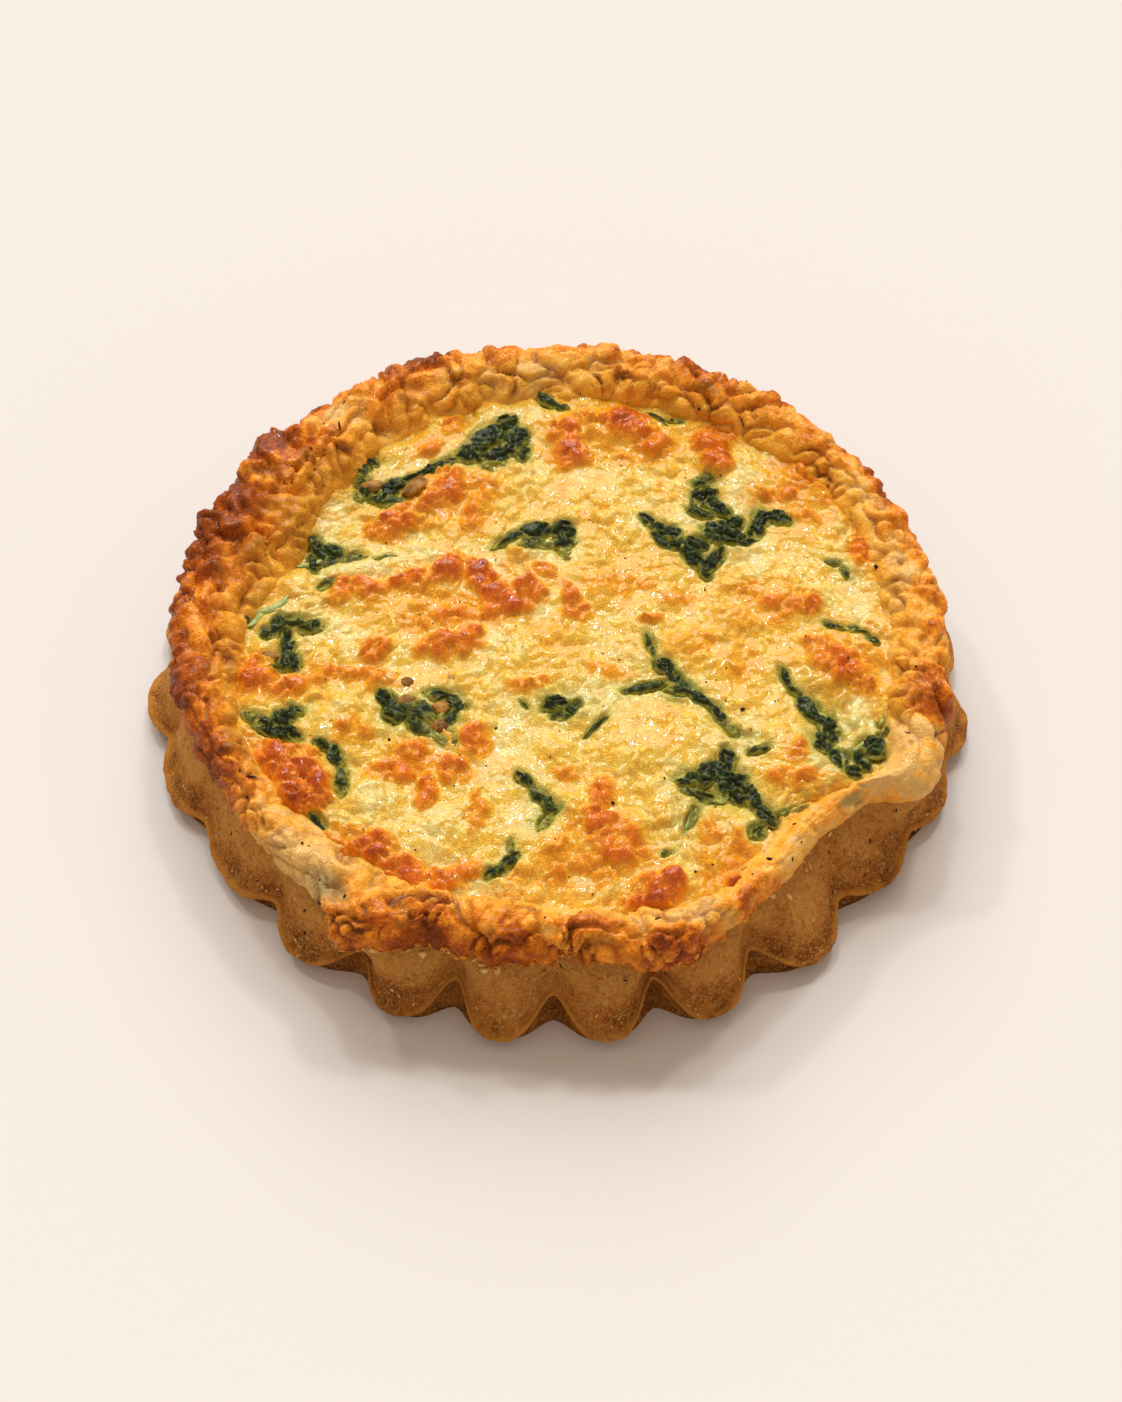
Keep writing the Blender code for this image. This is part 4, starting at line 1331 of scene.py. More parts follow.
    def build(self) -> bpy.types.Object:
        """Makes the crust's mesh.

        Returns:
            The crust, without its material.
        """
        angle, share, reach = self.shape.columns(self.per_flute)
        keys = self.outline(angle, share, reach)
        line = catmull(keys, self.rows)
        turn = np.radians(angle)[None, :]
        points = np.stack([line[..., 0] * np.cos(turn), line[..., 0] * np.sin(turn), line[..., 1]], axis=-1)
        stops = np.cumsum((0,) + self.rows)
        row = np.arange(len(points))[:, None] + np.zeros_like(angle)[None, :]
        ragged = 2.0 * self.grain.layered(points + 150.0, 3.0, 2)
        rim = ramp(stops[11] + 1, stops[13], row + ragged) * ramp(stops[20], stops[18], row)
        wall = ramp(stops[3], stops[6], row) * (1.0 - rim)
        out, crease_shade, lump = self.relief(points, angle, rim)
        out = out - 1.5 * blots_at(POCKET[:1], points[..., 0], points[..., 1], 0.5) * rim
        moving = np.clip(rim + wall, 0.0, 1.0) * ramp(stops[2], stops[4], row)
        points = points + surface_normals(points) * (out * moving)[..., None]
        masks = self.colouring(points, angle, share, row, stops, crease_shade, lump)
        shape, column, level = grid_shape(len(angle), len(points) - 1)
        column = column % len(angle)
        place_verts(shape, fitted(points[level, column]))
        for name, values in masks.items():
            paint(shape, name, values[level, column])
        bmesh.ops.remove_doubles(shape, verts=shape.verts, dist=0.5e-5)
        bmesh.ops.recalc_face_normals(shape, faces=shape.faces)
        return new_object("crust_pastry", shape)

    def colouring(
        self, points: Array, angle: Array, share: Array, row: Array, stops: Array, crease_shade: Array, lump: Array
    ) -> dict[str, Array]:
        """Numbers that the pastry's material reads.

        Args:
            points: The finished surface, rows by columns by 3.
            angle: Each column's angle.
            share: Its place between two petal tips.
            row: Row number at each point.
            stops: Row numbers of the key points.
            crease_shade: Painted shade for the creases between lumps, from the relief.
            lump: Lump height from the relief.

        Returns:
            Name and values of each mask.
        """
        tone = self.grain.layered(points + 3.0, 8.0, 4)
        fine = self.grain.layered(points + 19.0, 2.6, 3)
        inside = ramp(stops[15], stops[19], row)
        over = self.rim_toast.at(angle)[None, :]
        toast = over * (0.5 + 0.85 * lump) - 0.2 * inside + 0.42 * tone + 0.26 * fine
        toast = toast + 0.16 * ramp(stops[15], stops[13], row) * over
        wx = points[..., 0] + 1.6 * tone
        wy = points[..., 1] + 1.6 * fine
        toast = toast + blots_at(RIM_DARK, wx, wy, 0.7) - blots_at(RIM_PALE, wx, wy, 0.8)
        skirt = ramp(stops[13] - 2, stops[12] - 1, row + 1.6 * fine)
        front = ramp(228.0, 246.0, angle % 360.0) * ramp(314.0, 300.0, angle % 360.0)
        petal = (0.5 + 0.5 * np.cos(2.0 * math.pi * share))[None, :]
        lip = ramp(stops[5] - 1, stops[6], row) * ramp(stops[9], stops[8], row)
        # Painted shade in the groove where the lip roll meets the wall.
        groove = ramp(stops[8], stops[9], row) * ramp(stops[11], stops[9] + 1, row)
        near_lip = ramp(stops[11] - 1, stops[9], row)
        # Painted shade under the lip roll and in the recess below it, with some real browning there.
        under = ramp(stops[6] + 1, stops[5], row)
        # The wall's darkness: its own tone, toasting near the lip, and the painted shade of the groove and
        # under the lip.
        shade = 0.18 + 0.6 * tone + 0.35 * fine + 0.5 * near_lip * (0.35 + 0.65 * petal)
        shade = shade + 0.35 * groove + 0.5 * under
        browned_lip = ramp(-0.1, 0.6, 0.4 * petal + 0.7 * tone + 0.4 * fine)
        cheese = ramp(stops[16] + 2, stops[19], row + 7.0 * tone + 4.0 * fine)
        cheese = cheese * (0.5 + 0.5 * ramp(0.1, 0.5, over))
        return {
            "toast": np.clip(toast, 0.0, 1.25),
            "skirt": skirt,
            "lip": np.clip(0.8 * lip * (1.0 - 0.85 * browned_lip), 0.0, 1.0),
            "shade": np.clip(shade + 0.2 * lip * browned_lip - 0.1 * front, 0.0, 1.0),
            # Painted shade for the rim's creases.
            "crease_shade": 0.9 * crease_shade,
            "stain": 0.85 * blots_at(POCKET, wx, wy, 0.5) * ramp(stops[12], stops[13], row),
            "cheese": np.clip(cheese * 0.7, 0.0, 1.0),
        }


# Rim seen from above: spots baked darker, spots left pale and the torn pocket at the near left.
RIM_DARK = (
    Blot(65.6, -13.6, 7, 9, 0, 0.4), Blot(-60, 31, 7, 6, 40, 0.4), Blot(-52, 43, 8, 6, 40, 0.35),
    Blot(-66, 19, 6, 7, 0, 0.4), Blot(-67, -15, 4, 6, 0, 0.4), Blot(-62, -27, 6, 9, 30, 0.3),
    Blot(-22, -67, 9, 5, -10, 0.3), Blot(-8, -69, 8, 4, 0, 0.25), Blot(20, -67.5, 12, 4, 6, 0.35),
    Blot(33, -57, 6, 5, 30, 0.35), Blot(-56, 8, 5, 6, 0, 0.25), Blot(28, 64, 8, 5, -20, 0.3),
    Blot(61, 33, 6, 8, 30, 0.25), Blot(-26, 65, 8, 5, 20, 0.3), Blot(-31, -62, 6, 6, 0, 0.35),
)  # fmt: skip
RIM_PALE = (
    Blot(7, -60.4, 16, 4, 4, 0.4), Blot(22, -61.6, 12, 5, 10, 0.4), Blot(-43.6, -50, 12, 7, -50, 0.5),
    Blot(-52, -40, 10, 6, -50, 0.3), Blot(-53, 38, 14, 8, 45, 0.35), Blot(-42, 51, 14, 7, 35, 0.4),
    Blot(-20, 60, 14, 5, 15, 0.3), Blot(2, 63, 16, 5, 0, 0.25), Blot(36, 56, 14, 5, -35, 0.3),
    Blot(57, 32, 12, 5, -60, 0.3), Blot(62, 12, 14, 4, -85, 0.25), Blot(60, -24, 16, 9, 60, 0.15),
    Blot(-60, -14, 6, 10, 0, 0.25), Blot(44, -46, 16, 4, 45, 0.3),
)  # fmt: skip
POCKET = (Blot(-39, -55.6, 10, 4.4, -48, 1.0), Blot(51.5, -36.4, 5, 2, 35, 0.9))


def fitted(points: Array) -> Array:
    """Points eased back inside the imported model's box."""
    low = np.array(CAD_BOX[0]) / MM
    high = np.array(CAD_BOX[1]) / MM
    return np.clip(points, low + 0.02, high - 0.02)


# ---------------------------------------------------------------- the filling

# Stretches of custard that the leaves have stained.
GREENISH = (
    Blot(8, -14.5, 20, 10, 18, 1.0), Blot(33, -24, 7, 8, 0, 1.0), Blot(-4, -41, 9, 7, 0, 0.9),
    Blot(31, -38.6, 18, 8, -25, 0.9), Blot(-37, 36, 9, 15, -30, 0.7), Blot(35, -46, 5, 9, 40, 0.8),
    Blot(54, -20, 8, 8, 30, 0.8), Blot(-43, 20, 12, 12, 0, 0.6), Blot(52, 9, 7, 12, 0, 0.6),
    Blot(-51, 4, 12, 8, 20, 0.7), Blot(-24, -19, 16, 12, -20, 0.65), Blot(-6, -55.6, 20, 4, 0, 0.5),
    Blot(-31, 33, 16, 8, 0, 0.5), Blot(20, -13, 16, 8, -30, 0.8), Blot(22.6, -42, 6, 13, 0, 0.9),
    Blot(28, 24, 16, 13, 0, 0.5), Blot(48, -24, 12, 16, -20, 0.8), Blot(-40, -22, 8, 8, 0, 0.6),
)  # fmt: skip


@dataclass
class Filling:
    """Custard that fills the crust, with its curds and browned cheese."""

    top: CustardTop = TOP
    cells: int = 300
    tuck: float = 1.6
    floor: float = 5.0

    def build(self) -> bpy.types.Object:
        """Makes the filling's mesh.

        Returns:
            The filling, without its material.
        """
        shape, column, row = grid_shape(self.cells, self.cells)
        across = column / self.cells * 2.0 - 1.0
        along = row / self.cells * 2.0 - 1.0
        x = across * np.sqrt(1.0 - along**2 * 0.5)
        y = along * np.sqrt(1.0 - across**2 * 0.5)
        radius = self.top.shape.fill_edge.at(np.degrees(np.arctan2(y, x))) + self.tuck
        x, y = x * radius, y * radius
        level = self.top.height(x, y) - 1.6 * ramp(1.0, 1.03, self.top.rim_share(x, y))
        place_verts(shape, np.stack([x, y, level], axis=-1))
        for name, values in self.colouring(x, y).items():
            paint(shape, name, values)
        self.close(shape)
        return new_object("filling_custard", shape)

    def close(self, shape: bmesh.types.BMesh) -> None:
        """Adds the hidden side and bottom."""
        border = [edge for edge in shape.edges if edge.is_boundary]
        made = bmesh.ops.extrude_edge_only(shape, edges=border)
        lower = [item for item in made["geom"] if isinstance(item, bmesh.types.BMVert)]
        for vert in lower:
            vert.co.z = self.floor * MM
        ring = [item for item in made["geom"] if isinstance(item, bmesh.types.BMEdge) and item.is_boundary]
        bmesh.ops.edgeloop_fill(shape, edges=ring)
        bmesh.ops.recalc_face_normals(shape, faces=shape.faces)

    def colouring(self, x: Array, y: Array) -> dict[str, Array]:
        """Numbers that the custard's material reads.

        Args:
            x: Plan positions.
            y: Plan positions.

        Returns:
            Name and values of each mask.
        """
        _, crease, _ = self.top.curds(x, y)
        small, small_crease, _ = self.top.grain.cobbles(on_plane(x, y, 21.0), self.top.small_curd, 0.6)
        edge = ramp(0.9, 1.0, self.top.rim_share(x, y))
        leaf = self.top.leaf_near(x, y, 0.7, 0.35)
        wide = self.top.leaf_near(x, y, 2.2, 0.5)
        uneven = 0.5 + 0.5 * self.top.grain.layered(on_plane(x, y, 55.0), 3.6, 3)
        between = blots_at(GREENISH, *self.top.warped(x, y, 5.0, 1.5), 0.6)
        toast = self.top.toast(x, y)
        green = np.maximum(0.4 * wide * uneven, leaf * (0.45 + 0.5 * uneven)) + 0.6 * between * uneven
        return {
            "toast": np.clip(toast * (1.0 - 0.6 * leaf) + 0.14 * edge, 0.0, 1.2),
            "gold": self.top.gold(x, y),
            "green": np.clip(green * ramp(0.75, 0.3, toast * (1.0 - leaf)), 0.0, 1.0),
            # Painted shade for the creases between curds.
            "curd_crease_shade": np.clip(0.6 * crease * (0.4 + 0.6 * small) + 0.4 * small_crease, 0.0, 1.0),
        }


# ---------------------------------------------------------------- spinach


@dataclass
class SpinachClump:
    """Crumpled cooked leaves lying half sunk in the custard."""

    name: str
    leaves: tuple[Leaf, ...]
    seed: int
    thickness: float = 0.4
    detail: int = 5

    def leaf(self, shape: bmesh.types.BMesh, leaf: Leaf, draw: np.random.Generator) -> None:
        """Adds one crumpled leaf to the clump.

        Args:
            shape: The clump so far.
            leaf: The leaf's place and size.
            draw: Source of this clump's random numbers.
        """
        made = bmesh.ops.create_icosphere(shape, subdivisions=self.detail, radius=1.0)["verts"]
        unit = np.array([vert.co[:] for vert in made])
        salt = draw.uniform(0.0, 500.0)
        far = np.hypot(unit[:, 0], unit[:, 1])
        heading = np.arctan2(unit[:, 1], unit[:, 0])
        bearing = on_plane(1.6 * np.cos(heading) + salt, 1.6 * np.sin(heading))
        ragged = LEAF_GRAIN.layered(bearing, 1.1, 3)
        along = unit[:, 0] * leaf.length * 0.54 * (1.0 + 0.22 * ragged)
        across = unit[:, 1] * leaf.width * 0.58 * (1.0 - 0.4 * unit[:, 0] ** 2) * (1.0 + 0.35 * ragged)
        across = across + draw.uniform(-0.16, 0.16) * leaf.width * (1.0 - unit[:, 0] ** 2)
        turn = math.radians(leaf.heading)
        x = leaf.x + along * math.cos(turn) - across * math.sin(turn)
        y = leaf.y + along * math.sin(turn) + across * math.cos(turn)
        spot = on_plane(x, y) + unit[:, 2:] * 0.4
        bend = np.stack([LEAF_GRAIN.smooth(spot + 200.0 + 9.0 * axis, 2.4) for axis in range(3)], axis=-1)
        lengthwise = on_plane(along / 2.3 + salt, across) + bend * 0.7
        fold = 1.0 - np.abs(LEAF_GRAIN.smooth(lengthwise, 1.9)) * 3.0
        crumple = 1.0 - np.abs(LEAF_GRAIN.smooth(spot + bend * 0.9 + 70.0, 1.4)) * 3.0
        fine = 1.0 - np.abs(LEAF_GRAIN.smooth(spot + bend * 0.5 + 90.0, 0.7)) * 3.0
        slim = min(1.0, leaf.width / 3.4)
        body = self.thickness * (0.4 + 0.6 * slim) * np.sign(unit[:, 2]) * np.abs(unit[:, 2]) ** 0.6
        folds = (0.42 * fold + 0.3 * crumple + 0.09 * fine) * (0.3 + 0.7 * slim) * (1.0 - 0.35 * far**2)
        top = TOP.base(x, y) + 0.1
        level = top + body + folds + leaf.lift + draw.uniform(-0.05, 0.12) - 0.75 * far**4
        film = ramp(0.45, -0.15, level - top - 0.12) * (unit[:, 2] > -0.3)
        film = np.maximum(film, 0.8 * ramp(0.2, -0.1, leaf.lift + 0.25 * LEAF_GRAIN.smooth(spot + 30.0, 3.0)))
        film = np.maximum(film, 0.75 * ramp(0.72, 1.0, far + 0.3 * LEAF_GRAIN.smooth(spot + 44.0, 1.6)))
        # Painted light and shade on the leaf: low in the folds for painted shade, high on the crests for pale
        # veins and painted highlight.
        fold_light_and_shade = np.clip(0.24 + 0.4 * fold + 0.34 * crumple + 0.14 * fine, 0.0, 1.15)
        layers = (shape.verts.layers.float["fold"], shape.verts.layers.float["film"])
        spots = np.stack([x, y, level], axis=-1) * MM
        for vert, place, value, pale in zip(made, spots.tolist(), fold_light_and_shade.tolist(), film.tolist()):
            vert.co = place
            vert[layers[0]] = value
            vert[layers[1]] = pale

    def build(self) -> bpy.types.Object:
        """Makes all the clump's leaves as one mesh.

        Returns:
            The clump, without its material.
        """
        draw = np.random.default_rng(self.seed)
        shape = bmesh.new()
        shape.verts.layers.float.new("fold")
        shape.verts.layers.float.new("film")
        for leaf in self.leaves:
            self.leaf(shape, leaf, draw)
        return new_object(self.name, shape)


# ---------------------------------------------------------------- small bits

# Brown beans and pale stems caught in the custard, seen from above.
BEANS = (
    Leaf(-34.7, 35.3, 4.2, 3.0, 10, 0.5), Leaf(-26.6, 34.4, 6.5, 3.6, 55, 0.7),
    Leaf(-26.7, -15.9, 3.4, 2.6, 0, 0.3), Leaf(-20.5, -17.3, 3.4, 3.0, 0, 0.3),
    Leaf(-20.8, -21.5, 3.2, 3.2, 0, 0.1), Leaf(-26.8, -11.8, 2.4, 2.2, 0, 0.2),
    Leaf(-18.5, -10.8, 2.6, 2.4, 0, 0.2), Leaf(-51.5, -5.0, 4.0, 2.0, -10, 0.6),
)  # fmt: skip
STEMS = (
    Leaf(-51.5, 6.4, 7, 1.6, 35, 0.5), Leaf(-54.6, 3.6, 4.6, 1.3, 60, 0.4), Leaf(-45, 17, 6, 1.2, 20, 0.4),
    Leaf(23, -41.6, 4.4, 1.1, 72, 0.3), Leaf(53.6, -25.2, 4.6, 1.0, 40, 0.5),
)  # fmt: skip
# Pepper on the filling: x, y and width.
PEPPER = (
    (32.9, -18, 1.2), (-31.6, 21, 0.4), (12, 39.7, 0.4), (6, 26.2, 0.4), (27, 10, 0.5),
    (30.2, -1.8, 0.4), (42, -3.7, 0.3), (11.2, -6.7, 0.5), (8.3, -5.2, 0.4), (8.2, -17.9, 0.4),
    (18.7, -33.7, 0.5), (26.3, -37.5, 0.5), (6.1, -56.6, 0.5), (26.8, -50.9, 0.5), (23.7, -52.3, 0.7),
    (-29.5, -24.5, 0.8), (-17, -28.7, 0.5), (-1.2, -28.7, 0.4), (-6.2, -4.8, 0.4), (-10.8, -21.8, 0.6),
    (52, -8, 0.6), (51.8, -11.4, 0.4), (57, -7.5, 0.3), (38.8, -15.8, 0.4), (28.4, -11.6, 0.3),
    (26.6, -12.2, 0.5), (30, -16, 0.5), (34.2, -22.6, 0.4), (18.5, -48.5, 1.0), (9.7, -38.7, 0.8),
    (47.8, 44, 0.4), (58.5, 15.5, 1.2), (42.5, 52.2, 0.6), (27, 52.8, 0.8),
)  # fmt: skip
# Dark marks on the rim: x, y, length, width and heading.
RIM_MARKS = (
    (61.8, -23.3, 1.8, 0.3, 160), (36.5, -50.5, 1.6, 0.8, 20), (40.4, -49.9, 1.0, 0.5, 60),
    (33.4, -53.8, 0.5, 0.4, 0), (42.1, -46.3, 0.5, 0.4, 0), (41.1, -42.6, 0.9, 0.5, 0),
    (-53.3, -33, 2.4, 0.5, 110), (-55.3, -33, 1.0, 0.5, 40), (-53.8, -37.8, 0.6, 0.5, 0),
    (-43.8, -47, 0.6, 0.5, 0), (-42.6, -48, 0.5, 0.4, 0), (-40.3, -58.7, 1.3, 0.8, 30),
    (-36, -58, 0.9, 0.7, 0), (-43.8, -55.6, 0.9, 0.7, 80), (-40.6, -53.9, 0.5, 0.4, 0),
    (-41, 46, 3.0, 0.5, 100), (-40.4, 53.5, 0.9, 0.6, 0), (-44, 47.5, 0.8, 0.5, 30),
    (-50, 48, 0.7, 0.5, 0), (64, -10, 0.6, 0.5, 0), (4, -62.4, 0.7, 0.5, 0), (17, -63.6, 1.4, 0.5, 15),
    (-2, -64, 0.6, 0.4, 0), (12, -62.2, 0.5, 0.4, 0),
)  # fmt: skip


class Surface:
    """Finished pieces that small bits are laid on."""

    def __init__(self, *pieces: bpy.types.Object) -> None:
        """Reads the pieces' faces."""
        self.trees = [self.tree(piece) for piece in pieces]

    def tree(self, piece: bpy.types.Object) -> BVHTree:
        """Search tree of one piece's faces."""
        shape = bmesh.new()
        shape.from_mesh(piece.data)
        found = BVHTree.FromBMesh(shape)
        shape.free()
        return found

    def met(self, start: Vector, way: Vector) -> Hit | None:
        """First face along a line.

        Args:
            start: Where the line starts, in millimetres.
            way: Which way it runs.

        Returns:
            The spot in millimetres and the face's outward direction, or None where nothing is met.
        """
        hits = [tree.ray_cast(start * MM, way) for tree in self.trees]
        hits = [hit for hit in hits if hit[0] is not None]
        if not hits:
            return None
        spot, normal, _, _ = min(hits, key=lambda hit: hit[3])
        return spot / MM, normal if normal.dot(way) < 0.0 else -normal

    def below(self, x: float, y: float) -> Hit | None:
        """Face met from straight above."""
        return self.met(Vector((x, y, 60.0)), Vector((0.0, 0.0, -1.0)))

    def beside(self, angle: float, height: float) -> Hit | None:
        """Face met from outside, level with a height."""
        out = Vector((math.cos(math.radians(angle)), math.sin(math.radians(angle)), 0.0))
        return self.met(out * 100.0 + Vector((0.0, 0.0, height)), -out)


@dataclass
class Bits:
    """Many small bits of one kind, laid on a surface and made as one mesh."""

    name: str
    finish: BitFinish
    seed: int
    flat: float = 0.6
    sunk: float = 0.1
    detail: int = 1
    shape: bmesh.types.BMesh = field(default_factory=bmesh.new)
    draw: np.random.Generator = field(init=False)

    def __post_init__(self) -> None:
        """Starts the bits' own random numbers."""
        self.draw = np.random.default_rng(self.seed)

    def lay(self, hit: Hit | None, length: float, width: float, heading: float | None = None) -> None:
        """Adds one bit.

        Args:
            hit: Spot and outward direction, or None for nowhere.
            length: The bit's length in millimetres.
            width: Its width in millimetres.
            heading: Its direction in degrees; None turns it at random.
        """
        if hit is None:
            return
        made = bmesh.ops.create_icosphere(self.shape, subdivisions=self.detail, radius=0.5)["verts"]
        for vert in made:
            vert.co *= self.draw.uniform(0.75, 1.15)
        turn = self.draw.uniform(0.0, 6.28) if heading is None else math.radians(heading)
        thick = min(length, width) * self.flat
        tilt = hit[1].to_track_quat("Z", "Y").to_matrix().to_4x4()
        spot = hit[0] + hit[1] * (0.5 - self.sunk) * 0.5 * thick
        place = Matrix.Scale(MM, 4) @ Matrix.Translation(spot) @ tilt @ Matrix.Rotation(turn, 4, "Z")
        scale = Matrix.Diagonal((length, width, thick, 1.0))
        bmesh.ops.transform(self.shape, matrix=place @ scale, verts=made)

    def done(self) -> None:
        """Makes the object and hands it over."""
        place_verts(self.shape, fitted(np.array([vert.co[:] for vert in self.shape.verts]) / MM))
        hand_over(new_object(self.name, self.shape), self.finish.material(), ())


@dataclass
class Nubs:
    """Rounded pieces half sunk in the custard."""

    name: str
    items: tuple[Leaf, ...]
    rise: float = 0.3

    def build(self) -> bpy.types.Object:
        """Makes the pieces as one mesh.

        Returns:
            The pieces, without their material.
        """
        shape = bmesh.new()
        for item in self.items:
            made = bmesh.ops.create_icosphere(shape, subdivisions=4, radius=1.0)["verts"]
            unit = np.array([vert.co[:] for vert in made])
            lumpy = 1.0 + 0.16 * LEAF_GRAIN.layered(unit * 1.4 + item.x, 1.0, 3)
            turn = math.radians(item.heading)
            along = unit[:, 0] * 0.5 * item.length * lumpy
            across = unit[:, 1] * 0.5 * item.width * lumpy + 0.12 * item.length * (unit[:, 0] ** 2 - 0.4)
            x = item.x + along * math.cos(turn) - across * math.sin(turn)
            y = item.y + along * math.sin(turn) + across * math.cos(turn)
            level = TOP.base(x, y) + item.lift - 0.15 + unit[:, 2] * item.width * self.rise * lumpy
            for vert, place in zip(made, (np.stack([x, y, level], axis=-1) * MM).tolist()):
                vert.co = place
        return new_object(self.name, shape)


# ---------------------------------------------------------------- studio


@dataclass(frozen=True)
class Lamp:
    """One distant lamp: where it stands, how wide it looks in degrees, its power and its colour."""

    name: str
    azimuth: float
    height: float
    angle: float
    strength: float
    tint: Colour


@dataclass
class Studio:
    """Pale floor, soft light from above and behind, an even warm fill and the camera."""

    ground: Colour = (0.725, 0.673, 0.628)
    lamps: tuple[Lamp, ...] = (
        Lamp("key", 92.0, 42.0, 50.0, 2.1, (0.96, 1.04, 1.13)),
        Lamp("sparkle 1", 68.0, 54.0, 5.0, 0.42, (1.0, 1.01, 1.0)),
        Lamp("sparkle 2", 100.0, 58.0, 5.0, 0.42, (1.0, 1.01, 1.0)),
        Lamp("sparkle 3", 134.0, 48.0, 5.0, 0.42, (1.0, 1.01, 1.0)),
    )
    fill: Colour = (1.0, 0.86, 0.72)
    fill_strength: float = 0.57
    elevation: float = 52.7
    distance: float = 0.601
    target: tuple[float, float, float] = (0.0007, -0.0084, 0.012)
    lens: float = 85.0
    sensor: float = 36.0

    def floor(self) -> None:
        """Large plain floor."""
        shape = bmesh.new()
        bmesh.ops.create_grid(shape, x_segments=1, y_segments=1, size=4.0)
        floor = new_object("studio_floor", shape)
        work = Paintwork("studio floor")
        work.constants(Base_Color=self.ground, Roughness=0.9, Specular_IOR_Level=0.1)
        floor.data.materials.append(work.material)

    def place_lamp(self, lamp: Lamp) -> None:
        """Adds one lamp, which shines at the middle."""
        data = bpy.data.lights.new(lamp.name, "SUN")
        data.energy = lamp.strength
        data.angle = math.radians(lamp.angle)
        data.color = lamp.tint
        placed = bpy.data.objects.new(lamp.name, data)
        turn, lift = math.radians(lamp.azimuth), math.radians(lamp.height)
        flat = math.cos(lift)
        towards = Vector((math.cos(turn) * flat, math.sin(turn) * flat, math.sin(lift)))
        placed.rotation_euler = towards.to_track_quat("Z", "Y").to_euler()
        bpy.context.scene.collection.objects.link(placed)

    def lights(self) -> None:
        """Places the lamps and the fill from all round."""
        for lamp in self.lamps:
            self.place_lamp(lamp)
        world = bpy.data.worlds.new("studio")
        world.use_nodes = True
        background = world.node_tree.nodes["Background"]
        background.inputs["Color"].default_value = (*self.fill, 1.0)
        background.inputs["Strength"].default_value = self.fill_strength
        bpy.context.scene.world = world

    def camera(self) -> None:
        """Camera that looks down on the near side."""
        data = bpy.data.cameras.new("camera")
        data.lens = self.lens
        data.sensor_fit = "AUTO"
        data.sensor_width = self.sensor
        data.clip_start = 0.01
        data.clip_end = 20.0
        camera = bpy.data.objects.new("camera", data)
        lift = math.radians(self.elevation)
        back = Vector((0.0, -math.cos(lift), math.sin(lift)))
        camera.location = Vector(self.target) + back * self.distance
        camera.rotation_euler = back.to_track_quat("Z", "Y").to_euler()
        bpy.context.scene.collection.objects.link(camera)
        bpy.context.scene.camera = camera


# Runs of pale flakes round the wall: first and last angle, height and how many.
FLAKE_RUNS = (
    (241.0, 262.0, 15.2, 40), (224.0, 238.0, 16.0, 26), (296.0, 325.0, 15.0, 12),
    (196.0, 222.0, 16.4, 18),
)  # fmt: skip


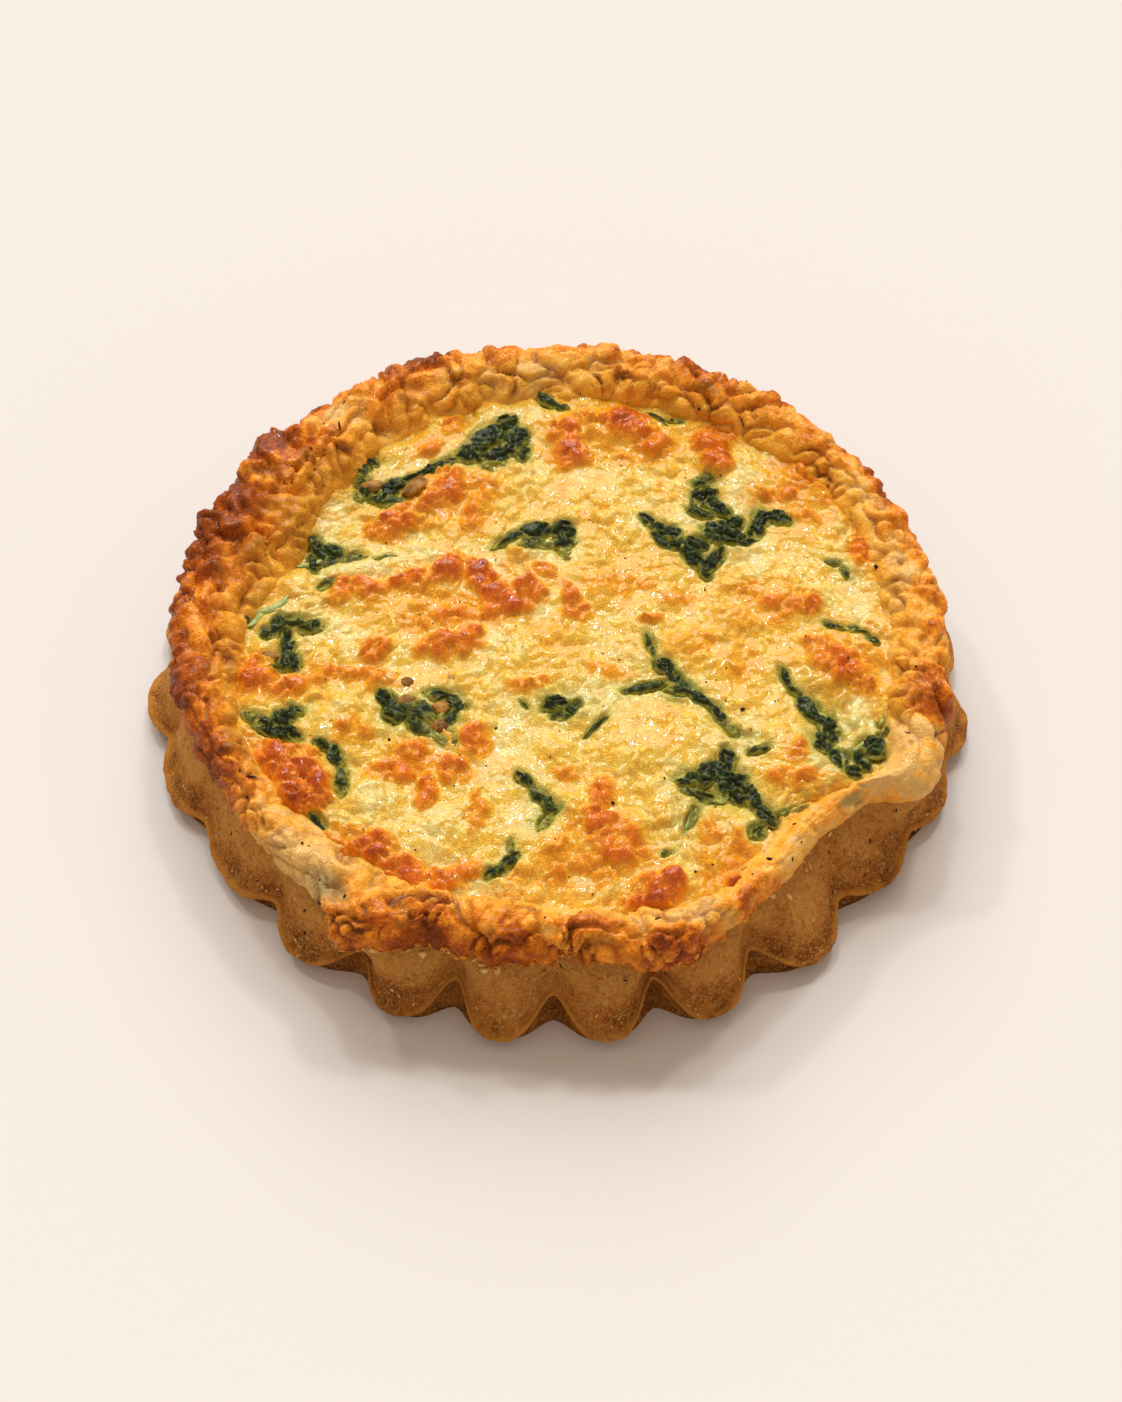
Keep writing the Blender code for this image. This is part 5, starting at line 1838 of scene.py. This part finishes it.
@dataclass
class Scatter:
    """Pepper, beans, stems, crumbs and flakes over the filling and the pastry."""

    surface: Surface
    top_specks: int = 70
    top_reach: float = 56.0
    wall_specks: int = 60
    pebble_count: int = 150
    lip_flakes: int = 110

    def pepper(self) -> None:
        """Dark specks on the filling and marks on the rim."""
        finish = BitFinish("cracked pepper", (0.05, 0.03, 0.015), (0.008, 0.005, 0.003), 0.5)
        bits = Bits("pepper_specks", finish, 71, flat=0.7, sunk=-0.1)
        draw = bits.draw
        for x, y, size in PEPPER:
            bits.lay(self.surface.below(x, y), size, 0.85 * size)
        for x, y, length, width, heading in RIM_MARKS:
            bits.lay(self.surface.below(x, y), length, width, heading)
        for _ in range(self.top_specks):
            reach = self.top_reach * math.sqrt(draw.uniform())
            turn = draw.uniform(0.0, 2.0 * math.pi)
            size = draw.uniform(0.2, 0.4)
            bits.lay(self.surface.below(reach * math.cos(turn), reach * math.sin(turn)), size, size)
        for _ in range(self.wall_specks):
            size = draw.uniform(0.3, 0.6)
            hit = self.surface.beside(draw.uniform(0.0, 360.0), draw.uniform(5.0, 15.0))
            bits.lay(hit, 2.0 * size, 0.6 * size)
        bits.done()

    def pebbles(self) -> None:
        """Browned pebbles of pastry along the near roll's lower edge."""
        finish = BitFinish("roll crumbs", (0.78, 0.30, 0.03), (0.40, 0.09, 0.006), 0.35)
        bits = Bits("roll_pebbles", finish, 83, flat=0.8, sunk=0.4)
        draw = bits.draw
        for _ in range(self.pebble_count):
            size = draw.uniform(0.7, 1.9)
            hit = self.surface.beside(draw.uniform(236.0, 300.0), draw.normal(16.6, 0.8))
            bits.lay(hit, size, size * draw.uniform(0.55, 0.9))
        bits.done()

    def flakes(self) -> None:
        """Pale raw flakes under the rim and along the lip."""
        finish = BitFinish("raw flakes", (0.86, 0.56, 0.22), (0.66, 0.33, 0.09), 0.6)
        bits = Bits("pale_flakes", finish, 89, flat=0.3, sunk=0.2)
        draw = bits.draw
        for low, high, height, count in FLAKE_RUNS:
            for _ in range(count):
                hit = self.surface.beside(draw.uniform(low, high), draw.normal(height, 0.8))
                bits.lay(hit, draw.uniform(1.0, 2.8), draw.uniform(0.6, 1.3))
        for _ in range(self.lip_flakes):
            hit = self.surface.beside(draw.uniform(0.0, 360.0), draw.uniform(3.0, 7.5))
            bits.lay(hit, draw.uniform(0.4, 1.3), draw.uniform(0.25, 0.6))
        bits.done()

    def build(self) -> None:
        """Makes every kind of small bit."""
        self.pepper()
        self.pebbles()
        self.flakes()
        beans = BitFinish("brown beans", (0.42, 0.19, 0.03), (0.15, 0.055, 0.006), 0.45)
        hand_over(Nubs("brown_beans", BEANS).build(), beans.material(), ())
        stems = BitFinish("pale stems", (0.46, 0.50, 0.17), (0.26, 0.32, 0.08), 0.3)
        hand_over(Nubs("pale_stems", STEMS).build(), stems.material(), ())


def main() -> None:
    logging.basicConfig(level=logging.INFO, format="%(name)s: %(message)s")
    bpy.context.scene.view_settings.view_transform = "Standard"
    crust = Crust().build()
    hand_over(crust, PastryFinish().material(), ("crust",))
    top = Filling().build()
    hand_over(top, CustardFinish().material(), ("filling",))
    leaf = LeafFinish().material()
    for number, leaves in enumerate(CLUMPS, start=1):
        clump = SpinachClump(f"spinach_{number:02d}_leaves", leaves, 100 + number)
        hand_over(clump.build(), leaf, (f"spinach_{number:02d}",))
    hand_over(SpinachClump("spinach_slivers", SLIVERS, 200, detail=4).build(), leaf, ())
    Scatter(Surface(crust, top)).build()
    studio = Studio()
    studio.floor()
    studio.lights()
    studio.camera()


if __name__ == "__main__":
    main()
